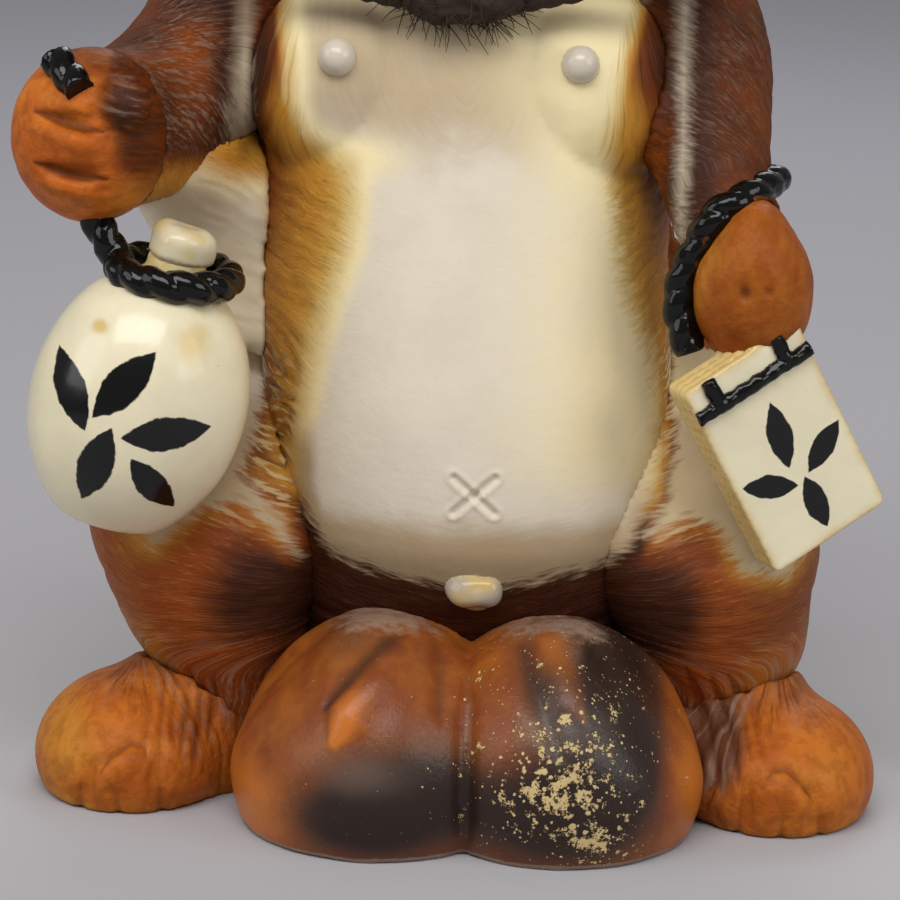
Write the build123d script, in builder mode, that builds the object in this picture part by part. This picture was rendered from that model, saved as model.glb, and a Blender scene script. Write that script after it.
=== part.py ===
from build123d import *

import os
from math import cos, pi, radians, sin, sqrt, tan

# A stoneware tanuki that stands, with a sake bottle, an account book and a tied-on straw hat.
# Millimetres. +Z is up and the figure faces -Y. Right and left are its own, so its right is -X.
# The figure is hollow, pressed in moulds and luted together with slip. Each moulded or applied clay
# piece is a solid of its own, cut to the face of the piece that carries it. The straw hat is loose:
# its ring rides on the round skull, and a palm-fibre cord ties it under the chin.

# Clay walls and the coils of clay pressed over the mould seams
WALL = 9.0
BOTTLE_WALL = 6.0
COIL_THICKNESS = 7.0
COIL_HALF_WIDTH = 9.0
NECK_COIL_RADIUS = 9.0

# Torso rings from the base up: height, half width, reach in front of and behind the mould seam at
# y = 0, and how far the middle sways to the tanuki's left
BASE_HALF_WIDTH = 84.0
BASE_FRONT = 50.0
BASE_BACK = 94.0
BASE_SWAY = 3.0
LOIN_HEIGHT = 62.0
LOIN_HALF_WIDTH = 83.0
LOIN_FRONT = 79.0
LOIN_BACK = 90.0
LOIN_SWAY = 3.0
BELLY_HEIGHT = 118.0
BELLY_HALF_WIDTH = 81.0
BELLY_FRONT = 95.0
BELLY_BACK = 82.0
BELLY_SWAY = 2.0
WAIST_HEIGHT = 200.0
WAIST_HALF_WIDTH = 80.0
WAIST_FRONT = 82.0
WAIST_BACK = 78.0
WAIST_SWAY = -4.0
CHEST_HEIGHT = 282.0
CHEST_HALF_WIDTH = 80.0
CHEST_FRONT = 60.0
CHEST_BACK = 78.0
CHEST_SWAY = -5.0
NECK_RISE = 40.0
NECK_HEIGHT = CHEST_HEIGHT + NECK_RISE
NECK_HALF_WIDTH = 60.0
NECK_FRONT = 42.0
NECK_BACK = 58.0
NECK_SWAY = -4.0
NECK_HOLE_RADIUS = 16.0

# Breasts, teats, navel and loin nub
BREAST_SPACING = 84.0
BREAST_DROP = 16.0
BREAST_HEIGHT = CHEST_HEIGHT - BREAST_DROP
BREAST_HALF_WIDTH = 38.0
BREAST_HALF_DEPTH = 34.0
BREAST_HALF_HEIGHT = 42.0
BREAST_PROUD = 9.0
TEAT_SPACING = 89.0
TEAT_RISE = 13.0
TEAT_HEIGHT = BREAST_HEIGHT + TEAT_RISE
TEAT_RADIUS = 7.0
NAVEL_HEIGHT = 125.0
NAVEL_SWAY = 6.0
NAVEL_STROKE_LENGTH = 23.0
NAVEL_STROKE_WIDTH = 2.4
NAVEL_STROKE_DEPTH = 1.5
NAVEL_STROKE_ANGLE = 42.0
NUB_HEIGHT = 87.0
NUB_SWAY = 6.0
NUB_HALF_WIDTH = 11.0
NUB_HALF_DEPTH = 9.0
NUB_HALF_HEIGHT = 8.0

# Head: the skull is round about the X axis, so that the hat can tilt on it
SKULL_RISE = 70.0
SKULL_HEIGHT = NECK_HEIGHT + SKULL_RISE
SKULL_SETBACK = 2.0
SKULL_HALF_WIDTH = 95.0
SKULL_RADIUS = 83.0
CHEEK_SPACING = 104.0
CHEEK_DROP = 26.0
CHEEK_FORWARD = 34.0
CHEEK_RADIUS = 46.0
MUZZLE_DROP = 22.0
MUZZLE_FORWARD = 70.0
MUZZLE_HALF_WIDTH = 42.0
MUZZLE_HALF_DEPTH = 42.0
MUZZLE_HALF_HEIGHT = 32.0
NOSE_RISE = 15.0
NOSE_HALF_WIDTH = 15.0
NOSE_HALF_DEPTH = 10.0
NOSE_HALF_HEIGHT = 11.0
EYE_SPACING = 66.0
EYE_RISE = 16.0
EYE_HALF_WIDTH = 14.0
EYE_HALF_DEPTH = 9.0
EYE_HALF_HEIGHT = 16.0
EAR_SPACING = 128.0
EAR_RISE = 66.0
EAR_FORWARD = 14.0
EAR_HALF_WIDTH = 27.0
EAR_HALF_DEPTH = 13.0
EAR_HALF_HEIGHT = 30.0
EAR_RIM = 7.0

# Haunches and legs, as rings from the sole to the hip: height, reach to the side from the middle of
# the pair, half width, half depth, how far it stands forward, and the pair's sway to its left
SOLE_OUT = 121.0
SOLE_HALF_WIDTH = 32.0
SOLE_HALF_DEPTH = 50.0
SOLE_FORWARD = 22.0
SOLE_SWAY = 3.0
ANKLE_HEIGHT = 53.0
ANKLE_OUT = 131.0
ANKLE_HALF_WIDTH = 36.0
ANKLE_HALF_DEPTH = 50.0
ANKLE_FORWARD = 27.0
ANKLE_SWAY = 3.0
HAUNCH_HEIGHT = 88.0
HAUNCH_OUT = 146.0
HAUNCH_HALF_WIDTH = 54.0
HAUNCH_HALF_DEPTH = 62.0
HAUNCH_FORWARD = 22.0
HAUNCH_SWAY = -3.0
HIP_HEIGHT = 144.0
HIP_OUT = 129.0
HIP_HALF_WIDTH = 48.0
HIP_HALF_DEPTH = 38.0
HIP_FORWARD = -2.0
HIP_SWAY = -3.0
LEG_TOP_HEIGHT = 232.0
LEG_TOP_OUT = 76.0
LEG_TOP_HALF_WIDTH = 26.0
LEG_TOP_HALF_DEPTH = 36.0
LEG_TOP_SWAY = -4.0

# Feet
FOOT_OUT = 160.0
FOOT_HALF_WIDTH = 38.0
FOOT_FORWARD = 64.0
FOOT_HALF_LENGTH = 45.0
FOOT_HALF_HEIGHT = 31.0
FOOT_CENTRE_HEIGHT = 13.0
TOE_SPACING = 25.0
TOE_GROOVE_RADIUS = 3.0
TOE_GROOVE_DEPTH = 3.0
TOE_GROOVE_LENGTH = 34.0

# Money bag: the big pouch of two lobes that hangs to the floor
POUCH_SWAY = 6.0
POUCH_LOBE_SPACING = 68.0
POUCH_LOBE_HALF_WIDTH = 54.0
POUCH_LOBE_HALF_DEPTH = 58.0
POUCH_LOBE_HALF_HEIGHT = 55.0
POUCH_FORWARD = 94.5
POUCH_CENTRE_HEIGHT = 22.0

# Tail, pressed against the back
TAIL_STANDOFF = 8.0
TAIL_ROOT_RADIUS = 24.0
TAIL_ROOT_DIRECTION = (0.0, 0.8, 0.6)
TAIL_BELLY_HEIGHT = 62.0
TAIL_BELLY_RADIUS = 31.0
TAIL_TIP_HEIGHT = 138.0
TAIL_TIP_RADIUS = 17.0

# Shoulders and elbows, and the way each arm runs at its joints
SHOULDER_DROP = 12.0
SHOULDER_HEIGHT = NECK_HEIGHT - SHOULDER_DROP
RIGHT_SHOULDER_OUT = 86.0
LEFT_SHOULDER_OUT = 77.0
SHOULDER_SETBACK = 6.0
SHOULDER_RADIUS = 27.0
RIGHT_SHOULDER_RUN = (-0.1, -0.2, -1.0)
RIGHT_ELBOW_RUN = (-0.45, -0.75, -0.5)
RIGHT_FIST_RUN = (-0.5, -0.85, 0.0)
LEFT_SHOULDER_RUN = (0.0, -0.2, -1.0)
LEFT_ELBOW_RUN = (0.1, -0.6, -0.8)
LEFT_WRIST_RUN = (0.2, -0.6, -0.8)
LEFT_FIST_RUN = (0.2, -0.3, -0.9)

# Right arm, bent forward, with the bottle's cord in its fist
RIGHT_ELBOW_OUT = 110.0
RIGHT_ELBOW_FORWARD = 24.0
RIGHT_ELBOW_HEIGHT = 262.0
RIGHT_ELBOW_RADIUS = 30.0
RIGHT_WRIST_RADIUS = 27.0
RIGHT_FIST_OUT = 138.0
RIGHT_FIST_FORWARD = 74.0
RIGHT_FIST_HEIGHT = 249.5
RIGHT_FIST_HALF_WIDTH = 29.0
RIGHT_FIST_HALF_DEPTH = 30.0
RIGHT_FIST_HALF_HEIGHT = 32.0
THUMB_RADIUS = 10.0
THUMB_INWARD = 15.0
THUMB_RISE = 15.0

# Web of clay that fills the crook between the torso, the haunch and the right arm
WEB_FOOT = (-88.0, -6.0, 165.0)
WEB_FOOT_RUN = (0.0, 0.0, 1.0)
WEB_FOOT_RADIUS = 26.0
WEB_WAIST = (-93.0, -12.0, 214.0)
WEB_WAIST_RUN = (-0.1, -0.2, 1.0)
WEB_WAIST_RADIUS = 25.0
WEB_TOP = (-112.0, -44.0, 239.0)
WEB_TOP_RUN = (-0.4, -0.6, 0.65)
WEB_TOP_RADIUS = 19.0

# Left arm, hanging forward, with the account book under its fist
LEFT_ELBOW_OUT = 86.0
LEFT_ELBOW_FORWARD = 24.0
LEFT_ELBOW_HEIGHT = 262.0
LEFT_ELBOW_RADIUS = 26.0
LEFT_WRIST_OUT = 92.0
LEFT_WRIST_FORWARD = 56.0
LEFT_WRIST_HEIGHT = 232.0
LEFT_WRIST_RADIUS = 20.0
LEFT_FIST_OUT = 105.0
LEFT_FIST_FORWARD = 76.0
LEFT_FIST_HEIGHT = 203.0
LEFT_FIST_HALF_WIDTH = 22.0
LEFT_FIST_HALF_DEPTH = 25.0
LEFT_FIST_HALF_HEIGHT = 31.0
FINGER_SPACING = 20.0
FINGER_GROOVE_RADIUS = 3.0
FINGER_GROOVE_DEPTH = 2.5
FINGER_GROOVE_LENGTH = 30.0

# Sake bottle, which leans in to the body
BOTTLE_OUT = 130.5
BOTTLE_FORWARD = 84.0
BOTTLE_FOOT_HEIGHT = 109.5
BOTTLE_LEAN = 15.0
BOTTLE_RADIUS = 40.0
BOTTLE_HALF_HEIGHT = 52.0
BOTTLE_FOOT_RADIUS = 20.0
BOTTLE_NECK_RADIUS = 11.0
BOTTLE_NECK_LENGTH = 6.0
STOPPER_RADIUS = 12.0
STOPPER_LENGTH = 12.0
STOPPER_ROUNDING = 6.0

# Account book
BOOK_OUT = 119.2
BOOK_FORWARD = 91.1
BOOK_HEIGHT = 144.7
BOOK_TILT = 30.0
BOOK_TURN = 22.0
BOOK_WIDTH = 50.0
BOOK_LENGTH = 80.0
BOOK_THICKNESS = 17.0
BOOK_CORNER_RADIUS = 3.0
PAGE_GROOVE_COUNT = 3
PAGE_GROOVE_DEPTH = 1.5
PAGE_GROOVE_WIDTH = 1.5
BINDING_RADIUS = 3.0
BINDING_INSET = 11.0
BINDING_STUB_LENGTH = 11.0
BINDING_STUB_SPACING = 30.0

# Moulded cords of the bottle and the book. The book's runs from the outer front of the wrist to the
# inner side of the fist, and an arc takes up its share of the run on each side of a corner
CORD_RADIUS = 6.0
BOTTLE_LOOP_RADIUS = 20.0
BOTTLE_LOOP_SAG = 4.0
BOTTLE_LOOP_TURN = -8.0
BOTTLE_CORD_OUT = 15.0
CORD_END_LENGTH = 19.0
CORD_END_ASIDE = 5.5
CORD_END_RISE = 24.0
CORD_END_RUN = (-0.57, 0.64, 0.53)
BOOK_CORD_SINK = 2.75
BOOK_CORD_ON_WRIST = ((1.0, 28.75, 6.0), (-7.0, 5.0, 4.0), (-22.0, -2.0, -3.0))
BOOK_CORD_ON_FIST = ((5.0, -1.75, 15.0), (-2.0, 0.0, 0.0), (-2.0, -2.0, -14.0), (3.0, -4.0, -26.0))
CORD_ARC_SHARE = 0.45

# Straw hat on the back of the head
HAT_TILT = 55.0
HAT_RADIUS = 112.0
HAT_DEPTH = 52.0
HAT_THICKNESS = 3.0
HAT_SEAT_DEPTH = 24.0
HAT_CLEARANCE = 0.3
HAT_RING_RADIUS = 76.0
HAT_RING_WIDTH = 20.0
HAT_HOOP_RADIUS = 3.5
HAT_RIB_COUNT = 8
HAT_RIB_WIDTH = 5.0
HAT_RIB_THICKNESS = 2.5
HAT_BUTTON_RADIUS = 12.0

# Palm-fibre chin cord: the route of its left half, measured from the middle of the skull
CHIN_CORD_RADIUS = 5.0
CHIN_CORD_ROUTE = (
    (81.3, 47.8, 33.5),
    (96.0, 28.0, 14.0),
    (105.0, 2.0, -6.0),
    (106.0, -24.0, -30.0),
    (98.0, -46.0, -54.0),
    (76.0, -62.0, -72.0),
    (50.0, -69.0, -84.0),
    (22.0, -63.0, -90.0),
)
CHIN_KNOT_DROP = 19.0
CHIN_KNOT_HEIGHT = NECK_HEIGHT - CHIN_KNOT_DROP
CHIN_KNOT_SEAT = 2.0
CHIN_KNOT_HALF_WIDTH = 24.0
CHIN_KNOT_HALF_DEPTH = 13.0
CHIN_KNOT_HALF_HEIGHT = 11.0

SIDES = (("right", -1), ("left", 1))
SKULL = Vector(NECK_SWAY, SKULL_SETBACK, SKULL_HEIGHT)
RIGHT_FIST = Vector(-RIGHT_FIST_OUT, -RIGHT_FIST_FORWARD, RIGHT_FIST_HEIGHT)
LEFT_FIST = Vector(LEFT_FIST_OUT, -LEFT_FIST_FORWARD, LEFT_FIST_HEIGHT)
LEFT_WRIST = Vector(LEFT_WRIST_OUT, -LEFT_WRIST_FORWARD, LEFT_WRIST_HEIGHT)
TORSO_RINGS = (
    (0.0, BASE_HALF_WIDTH, BASE_FRONT, BASE_BACK, BASE_SWAY),
    (LOIN_HEIGHT, LOIN_HALF_WIDTH, LOIN_FRONT, LOIN_BACK, LOIN_SWAY),
    (BELLY_HEIGHT, BELLY_HALF_WIDTH, BELLY_FRONT, BELLY_BACK, BELLY_SWAY),
    (WAIST_HEIGHT, WAIST_HALF_WIDTH, WAIST_FRONT, WAIST_BACK, WAIST_SWAY),
    (CHEST_HEIGHT, CHEST_HALF_WIDTH, CHEST_FRONT, CHEST_BACK, CHEST_SWAY),
    (NECK_HEIGHT, NECK_HALF_WIDTH, NECK_FRONT, NECK_BACK, NECK_SWAY),
)


def ring_loft(rings):
    """Solid through level ellipses, each given as (height, x, y, half width, half depth)."""
    with BuildPart() as solid:
        for height, x, y, half_width, half_depth in rings:
            with BuildSketch(Plane.XY.offset(height)):
                with Locations((x, y)):
                    Ellipse(half_width, half_depth)
        loft()
    return solid.part


def limb(*stations):
    """Solid through round sections, each given as (centre, direction, radius)."""
    with BuildPart() as solid:
        for centre, direction, radius in stations:
            with BuildSketch(Plane(origin=centre, x_dir=(1, 0, 0), z_dir=direction)):
                Circle(radius)
        loft()
    return solid.part


def ellipsoid(centre, half_width, half_depth, half_height):
    """Solid ellipsoid about a centre."""
    longest = max(half_width, half_depth, half_height)
    with BuildPart() as solid:
        Sphere(longest)
        scale(by=(half_width / longest, half_depth / longest, half_height / longest))
    return solid.part.moved(Location(centre))


def ball(centre, radius):
    """Solid ball about a centre."""
    with BuildPart() as solid:
        with Locations(centre):
            Sphere(radius)
    return solid.part


def rod(middle, direction, radius, length):
    """Solid round rod about its middle."""
    with BuildPart() as solid:
        with Locations(Plane(origin=middle, z_dir=direction)):
            Cylinder(radius, length)
    return solid.part


def joined(*solids):
    """One solid of several that overlap."""
    with BuildPart() as whole:
        for solid in solids:
            add(solid)
    return whole.part


def cut(solid, *cutters):
    """The main body of what is left of a solid outside its cutters."""
    with BuildPart() as rest:
        add(solid)
        for cutter in cutters:
            add(cutter, mode=Mode.SUBTRACT)
    return rest.part.solids().sort_by(SortBy.VOLUME)[-1]


def above(solid, height=0.0):
    """The part of a solid that stands above a height."""
    with BuildPart() as rest:
        add(solid)
        split(bisect_by=Plane.XY.offset(height), keep=Keep.TOP)
    return rest.part


def halves(shell):
    """A shell parted at the mould seam into its front and its back."""
    parts = []
    for keep in (Keep.TOP, Keep.BOTTOM):
        with BuildPart() as half:
            add(shell)
            split(bisect_by=Plane.XZ, keep=keep)
        parts.append(half.part)
    return parts


def pair(spacing, middle):
    """The x places of a right and left pair."""
    return {side: middle + sign * spacing / 2 for side, sign in SIDES}


def torso_ring_at(height):
    """The torso's half width, front, back and sway at a height, between the two rings about it."""
    for low, high in zip(TORSO_RINGS, TORSO_RINGS[1:]):
        if height <= high[0]:
            break
    share = (height - low[0]) / (high[0] - low[0])
    return [a + share * (b - a) for a, b in zip(low[1:], high[1:])]


def torso_front(x, height):
    """The y of the torso's front face."""
    half_width, front, back, sway = torso_ring_at(height)
    across = (x - sway) / half_width
    return (back - front) / 2 - (front + back) / 2 * sqrt(1 - across**2)


def torso_rings(inset=0.0):
    """The torso's rings as ellipses, drawn in by a wall."""
    return [
        (height, sway, (back - front) / 2, half_width - inset, (front + back) / 2 - inset)
        for height, half_width, front, back, sway in TORSO_RINGS
    ]


def breast_centres():
    """The middles of the two breasts, which stand a little proud of the torso's front."""
    centres = {}
    for side, x in pair(BREAST_SPACING, torso_ring_at(BREAST_HEIGHT)[-1]).items():
        y = torso_front(x, BREAST_HEIGHT) - BREAST_PROUD + BREAST_HALF_DEPTH
        centres[side] = Vector(x, y, BREAST_HEIGHT)
    return centres


def make_torso():
    """The torso as a full solid with its navel cut in, and the hollow inside it."""
    breasts = [
        ellipsoid(centre, BREAST_HALF_WIDTH, BREAST_HALF_DEPTH, BREAST_HALF_HEIGHT)
        for centre in breast_centres().values()
    ]
    navel = (NAVEL_SWAY, torso_front(NAVEL_SWAY, NAVEL_HEIGHT), NAVEL_HEIGHT)
    strokes = []
    for angle in (-NAVEL_STROKE_ANGLE, NAVEL_STROKE_ANGLE):
        with BuildPart() as stroke:
            with Locations(Location(navel, (0, angle, 0))):
                Box(NAVEL_STROKE_LENGTH, 2 * NAVEL_STROKE_DEPTH, NAVEL_STROKE_WIDTH)
        strokes.append(stroke.part)
    rings = torso_rings(WALL)
    rings[-1] = (*rings[-1][:3], NECK_HOLE_RADIUS, NECK_HOLE_RADIUS)
    return cut(joined(ring_loft(torso_rings()), *breasts), *strokes), ring_loft(rings)


def make_seam_coils(hollow):
    """Clay coils pressed over the mould seam inside the torso, one on each side."""
    core = ring_loft(torso_rings(WALL + COIL_THICKNESS))
    reach = max(ring[1] for ring in TORSO_RINGS)
    coils = {}
    for side, sign in SIDES:
        with BuildPart() as coil:
            add(hollow)
            add(core, mode=Mode.SUBTRACT)
            with Locations((sign * reach, 0, (LOIN_HEIGHT + WAIST_HEIGHT) / 2)):
                Box(2 * reach, 2 * COIL_HALF_WIDTH, WAIST_HEIGHT - LOIN_HEIGHT, mode=Mode.INTERSECT)
        coils[f"{side}_seam_coil"] = coil.part
    return coils


def make_neck_coil():
    """The coil of clay that lutes the head on to the neck, as a full ring."""
    middle = (NECK_SWAY, (NECK_BACK - NECK_FRONT) / 2, NECK_HEIGHT)
    half_depth = (NECK_FRONT + NECK_BACK) / 2
    with BuildPart() as coil:
        with BuildLine(Plane(origin=middle)) as route:
            EllipticalCenterArc((0, 0), NECK_HALF_WIDTH, half_depth, arc_size=360)
        with BuildSketch(Plane(origin=route.line @ 0, z_dir=route.line % 0)):
            Circle(NECK_COIL_RADIUS)
        sweep(path=route.line)
    return coil.part


def make_chest_pieces():
    """The teats and the loin nub as full lumps, centred on the torso's front face."""
    breasts = breast_centres()
    lumps = {}
    for side, x in pair(TEAT_SPACING, torso_ring_at(TEAT_HEIGHT)[-1]).items():
        breast = breasts[side]
        across = ((x - breast.X) / BREAST_HALF_WIDTH) ** 2
        up = ((TEAT_HEIGHT - BREAST_HEIGHT) / BREAST_HALF_HEIGHT) ** 2
        centre = (x, breast.Y - BREAST_HALF_DEPTH * sqrt(1 - across - up), TEAT_HEIGHT)
        lumps[f"{side}_teat"] = ball(centre, TEAT_RADIUS)
    nub = (NUB_SWAY, torso_front(NUB_SWAY, NUB_HEIGHT), NUB_HEIGHT)
    lumps["loin_nub"] = ellipsoid(nub, NUB_HALF_WIDTH, NUB_HALF_DEPTH, NUB_HALF_HEIGHT)
    return lumps


def make_head():
    """The head as a full solid, and the hollow inside it."""
    skull = ellipsoid(SKULL, SKULL_HALF_WIDTH, SKULL_RADIUS, SKULL_RADIUS)
    muzzle = ellipsoid(SKULL + Vector(0, -MUZZLE_FORWARD, -MUZZLE_DROP), MUZZLE_HALF_WIDTH,
                       MUZZLE_HALF_DEPTH, MUZZLE_HALF_HEIGHT)
    cheeks = [
        ball((x, SKULL_SETBACK - CHEEK_FORWARD, SKULL_HEIGHT - CHEEK_DROP), CHEEK_RADIUS)
        for x in pair(CHEEK_SPACING, NECK_SWAY).values()
    ]
    hollow = ellipsoid(SKULL, SKULL_HALF_WIDTH - WALL, SKULL_RADIUS - WALL, SKULL_RADIUS - WALL)
    return above(joined(skull, muzzle, *cheeks), NECK_HEIGHT), hollow


def skull_front(x, rise):
    """The y of the skull's front face at a rise above its middle."""
    across = ((x - NECK_SWAY) / SKULL_HALF_WIDTH) ** 2 + (rise / SKULL_RADIUS) ** 2
    return SKULL_SETBACK - SKULL_RADIUS * sqrt(1 - across)


def make_face_pieces():
    """The nose, eyes and cupped ears as full lumps."""
    muzzle_reach = MUZZLE_HALF_DEPTH * sqrt(1 - (NOSE_RISE / MUZZLE_HALF_HEIGHT) ** 2)
    nose = SKULL + Vector(0, -MUZZLE_FORWARD - muzzle_reach, NOSE_RISE - MUZZLE_DROP)
    lumps = {"nose": ellipsoid(nose, NOSE_HALF_WIDTH, NOSE_HALF_DEPTH, NOSE_HALF_HEIGHT)}
    for side, x in pair(EYE_SPACING, NECK_SWAY).items():
        centre = (x, skull_front(x, EYE_RISE), SKULL_HEIGHT + EYE_RISE)
        lumps[f"{side}_eye"] = ellipsoid(centre, EYE_HALF_WIDTH, EYE_HALF_DEPTH, EYE_HALF_HEIGHT)
    for side, x in pair(EAR_SPACING, NECK_SWAY).items():
        centre = Vector(x, SKULL_SETBACK - EAR_FORWARD, SKULL_HEIGHT + EAR_RISE)
        cup = ellipsoid(centre - Vector(0, EAR_HALF_DEPTH, 0), EAR_HALF_WIDTH - EAR_RIM, EAR_HALF_DEPTH,
                        EAR_HALF_HEIGHT - EAR_RIM)
        ear = ellipsoid(centre, EAR_HALF_WIDTH, EAR_HALF_DEPTH, EAR_HALF_HEIGHT)
        lumps[f"{side}_ear"] = cut(ear, cup)
    return lumps


def make_leg(sign):
    """One haunch and leg as a full solid, and the hollow inside it."""
    rings = (
        (0.0, SOLE_OUT, SOLE_FORWARD, SOLE_HALF_WIDTH, SOLE_HALF_DEPTH, SOLE_SWAY),
        (ANKLE_HEIGHT, ANKLE_OUT, ANKLE_FORWARD, ANKLE_HALF_WIDTH, ANKLE_HALF_DEPTH, ANKLE_SWAY),
        (HAUNCH_HEIGHT, HAUNCH_OUT, HAUNCH_FORWARD, HAUNCH_HALF_WIDTH, HAUNCH_HALF_DEPTH, HAUNCH_SWAY),
        (HIP_HEIGHT, HIP_OUT, HIP_FORWARD, HIP_HALF_WIDTH, HIP_HALF_DEPTH, HIP_SWAY),
        (LEG_TOP_HEIGHT, LEG_TOP_OUT, 0.0, LEG_TOP_HALF_WIDTH, LEG_TOP_HALF_DEPTH, LEG_TOP_SWAY),
    )
    outer = ring_loft([
        (z, sway + sign * (out - w), -forward, w, d) for z, out, forward, w, d, sway in rings
    ])
    inner = ring_loft([
        (z, sway + sign * (out - w), -forward, w - WALL, d - WALL)
        for z, out, forward, w, d, sway in rings[:-1]
    ])
    return outer, inner


def make_foot(sign):
    """One foot as a full lump, with two grooves that part its toes."""
    centre = Vector(sign * (FOOT_OUT - FOOT_HALF_WIDTH), -FOOT_FORWARD, FOOT_CENTRE_HEIGHT)
    lump = ellipsoid(centre, FOOT_HALF_WIDTH, FOOT_HALF_LENGTH, FOOT_HALF_HEIGHT)
    reach = FOOT_HALF_LENGTH * sqrt(1 - (TOE_SPACING / 2 / FOOT_HALF_WIDTH) ** 2)
    grooves = []
    for x in (-TOE_SPACING / 2, TOE_SPACING / 2):
        middle = centre + Vector(x, TOE_GROOVE_DEPTH - TOE_GROOVE_RADIUS - reach, 0)
        grooves.append(rod(middle, (0, 0, 1), TOE_GROOVE_RADIUS, TOE_GROOVE_LENGTH))
    return above(cut(lump, *grooves))


def make_pouch():
    """The money bag's two lobes as a full solid, and the hollow inside them."""
    centres = [(x, -POUCH_FORWARD, POUCH_CENTRE_HEIGHT)
               for x in pair(POUCH_LOBE_SPACING, POUCH_SWAY).values()]
    solids = []
    for inset in (0.0, WALL):
        solids.append(joined(*(
            ellipsoid(centre, POUCH_LOBE_HALF_WIDTH - inset, POUCH_LOBE_HALF_DEPTH - inset,
                      POUCH_LOBE_HALF_HEIGHT - inset)
            for centre in centres
        )))
    return above(solids[0]), solids[1]


def make_tail():
    """The bushy tail as a full solid."""
    back = BASE_BACK + TAIL_STANDOFF
    root = (BASE_SWAY, BASE_BACK - TAIL_ROOT_RADIUS, TAIL_ROOT_RADIUS)
    belly = (BASE_SWAY, back, TAIL_BELLY_HEIGHT)
    tip = (BASE_SWAY, back, TAIL_TIP_HEIGHT - TAIL_TIP_RADIUS)
    club = limb((root, TAIL_ROOT_DIRECTION, TAIL_ROOT_RADIUS), (belly, (0, 0, 1), TAIL_BELLY_RADIUS),
                (tip, (0, 0, 1), TAIL_TIP_RADIUS))
    return above(joined(club, ball(tip, TAIL_TIP_RADIUS)))


def make_arms():
    """The two arms as full solids, from domed shoulders to inside the fists."""
    right_shoulder = (CHEST_SWAY - RIGHT_SHOULDER_OUT, SHOULDER_SETBACK, SHOULDER_HEIGHT)
    left_shoulder = (CHEST_SWAY + LEFT_SHOULDER_OUT, SHOULDER_SETBACK, SHOULDER_HEIGHT)
    right_elbow = (-RIGHT_ELBOW_OUT, -RIGHT_ELBOW_FORWARD, RIGHT_ELBOW_HEIGHT)
    left_elbow = (LEFT_ELBOW_OUT, -LEFT_ELBOW_FORWARD, LEFT_ELBOW_HEIGHT)
    right = limb(
        (right_shoulder, RIGHT_SHOULDER_RUN, SHOULDER_RADIUS),
        (right_elbow, RIGHT_ELBOW_RUN, RIGHT_ELBOW_RADIUS),
        (RIGHT_FIST, RIGHT_FIST_RUN, RIGHT_WRIST_RADIUS),
    )
    left = limb(
        (left_shoulder, LEFT_SHOULDER_RUN, SHOULDER_RADIUS),
        (left_elbow, LEFT_ELBOW_RUN, LEFT_ELBOW_RADIUS),
        (LEFT_WRIST, LEFT_WRIST_RUN, LEFT_WRIST_RADIUS),
        (LEFT_FIST, LEFT_FIST_RUN, LEFT_WRIST_RADIUS),
    )
    return {
        "right_arm": joined(right, ball(right_shoulder, SHOULDER_RADIUS)),
        "left_arm": joined(left, ball(left_shoulder, SHOULDER_RADIUS)),
    }


def make_web():
    """The web of clay in the crook of the right arm, as a full solid."""
    return limb((WEB_FOOT, WEB_FOOT_RUN, WEB_FOOT_RADIUS), (WEB_WAIST, WEB_WAIST_RUN, WEB_WAIST_RADIUS),
                (WEB_TOP, WEB_TOP_RUN, WEB_TOP_RADIUS))


def make_right_fist():
    """The right fist with its thumb, and grooves across its front that part the fingers."""
    lump = ellipsoid(RIGHT_FIST, RIGHT_FIST_HALF_WIDTH, RIGHT_FIST_HALF_DEPTH, RIGHT_FIST_HALF_HEIGHT)
    across = (THUMB_INWARD / RIGHT_FIST_HALF_WIDTH) ** 2 + (THUMB_RISE / RIGHT_FIST_HALF_HEIGHT) ** 2
    thumb = RIGHT_FIST + Vector(THUMB_INWARD, -RIGHT_FIST_HALF_DEPTH * sqrt(1 - across), THUMB_RISE)
    reach = RIGHT_FIST_HALF_DEPTH * sqrt(1 - (FINGER_SPACING / 2 / RIGHT_FIST_HALF_HEIGHT) ** 2)
    grooves = []
    for rise in (-FINGER_SPACING / 2, FINGER_SPACING / 2):
        middle = RIGHT_FIST + Vector(0, FINGER_GROOVE_DEPTH - FINGER_GROOVE_RADIUS - reach, rise)
        grooves.append(rod(middle, (1, 0, 0), FINGER_GROOVE_RADIUS, FINGER_GROOVE_LENGTH))
    return joined(cut(lump, *grooves), ball(thumb, THUMB_RADIUS))


def make_left_fist():
    """The left fist as a full lump."""
    return ellipsoid(LEFT_FIST, LEFT_FIST_HALF_WIDTH, LEFT_FIST_HALF_DEPTH, LEFT_FIST_HALF_HEIGHT)


def bottle_plane(height=0.0):
    """A plane square to the bottle's axis, at a height above its foot."""
    lean = radians(BOTTLE_LEAN)
    foot = Plane(origin=(-BOTTLE_OUT, -BOTTLE_FORWARD, BOTTLE_FOOT_HEIGHT),
                 x_dir=(cos(lean), 0, -sin(lean)), z_dir=(sin(lean), 0, cos(lean)))
    return foot.offset(height)


def bottle_belly():
    """The height of the bottle's widest part above its foot."""
    return BOTTLE_HALF_HEIGHT * sqrt(1 - (BOTTLE_FOOT_RADIUS / BOTTLE_RADIUS) ** 2)


def bottle_top():
    """The height of the foot of the bottle's neck above its foot."""
    return bottle_belly() + BOTTLE_HALF_HEIGHT * sqrt(1 - (BOTTLE_NECK_RADIUS / BOTTLE_RADIUS) ** 2)


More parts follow.
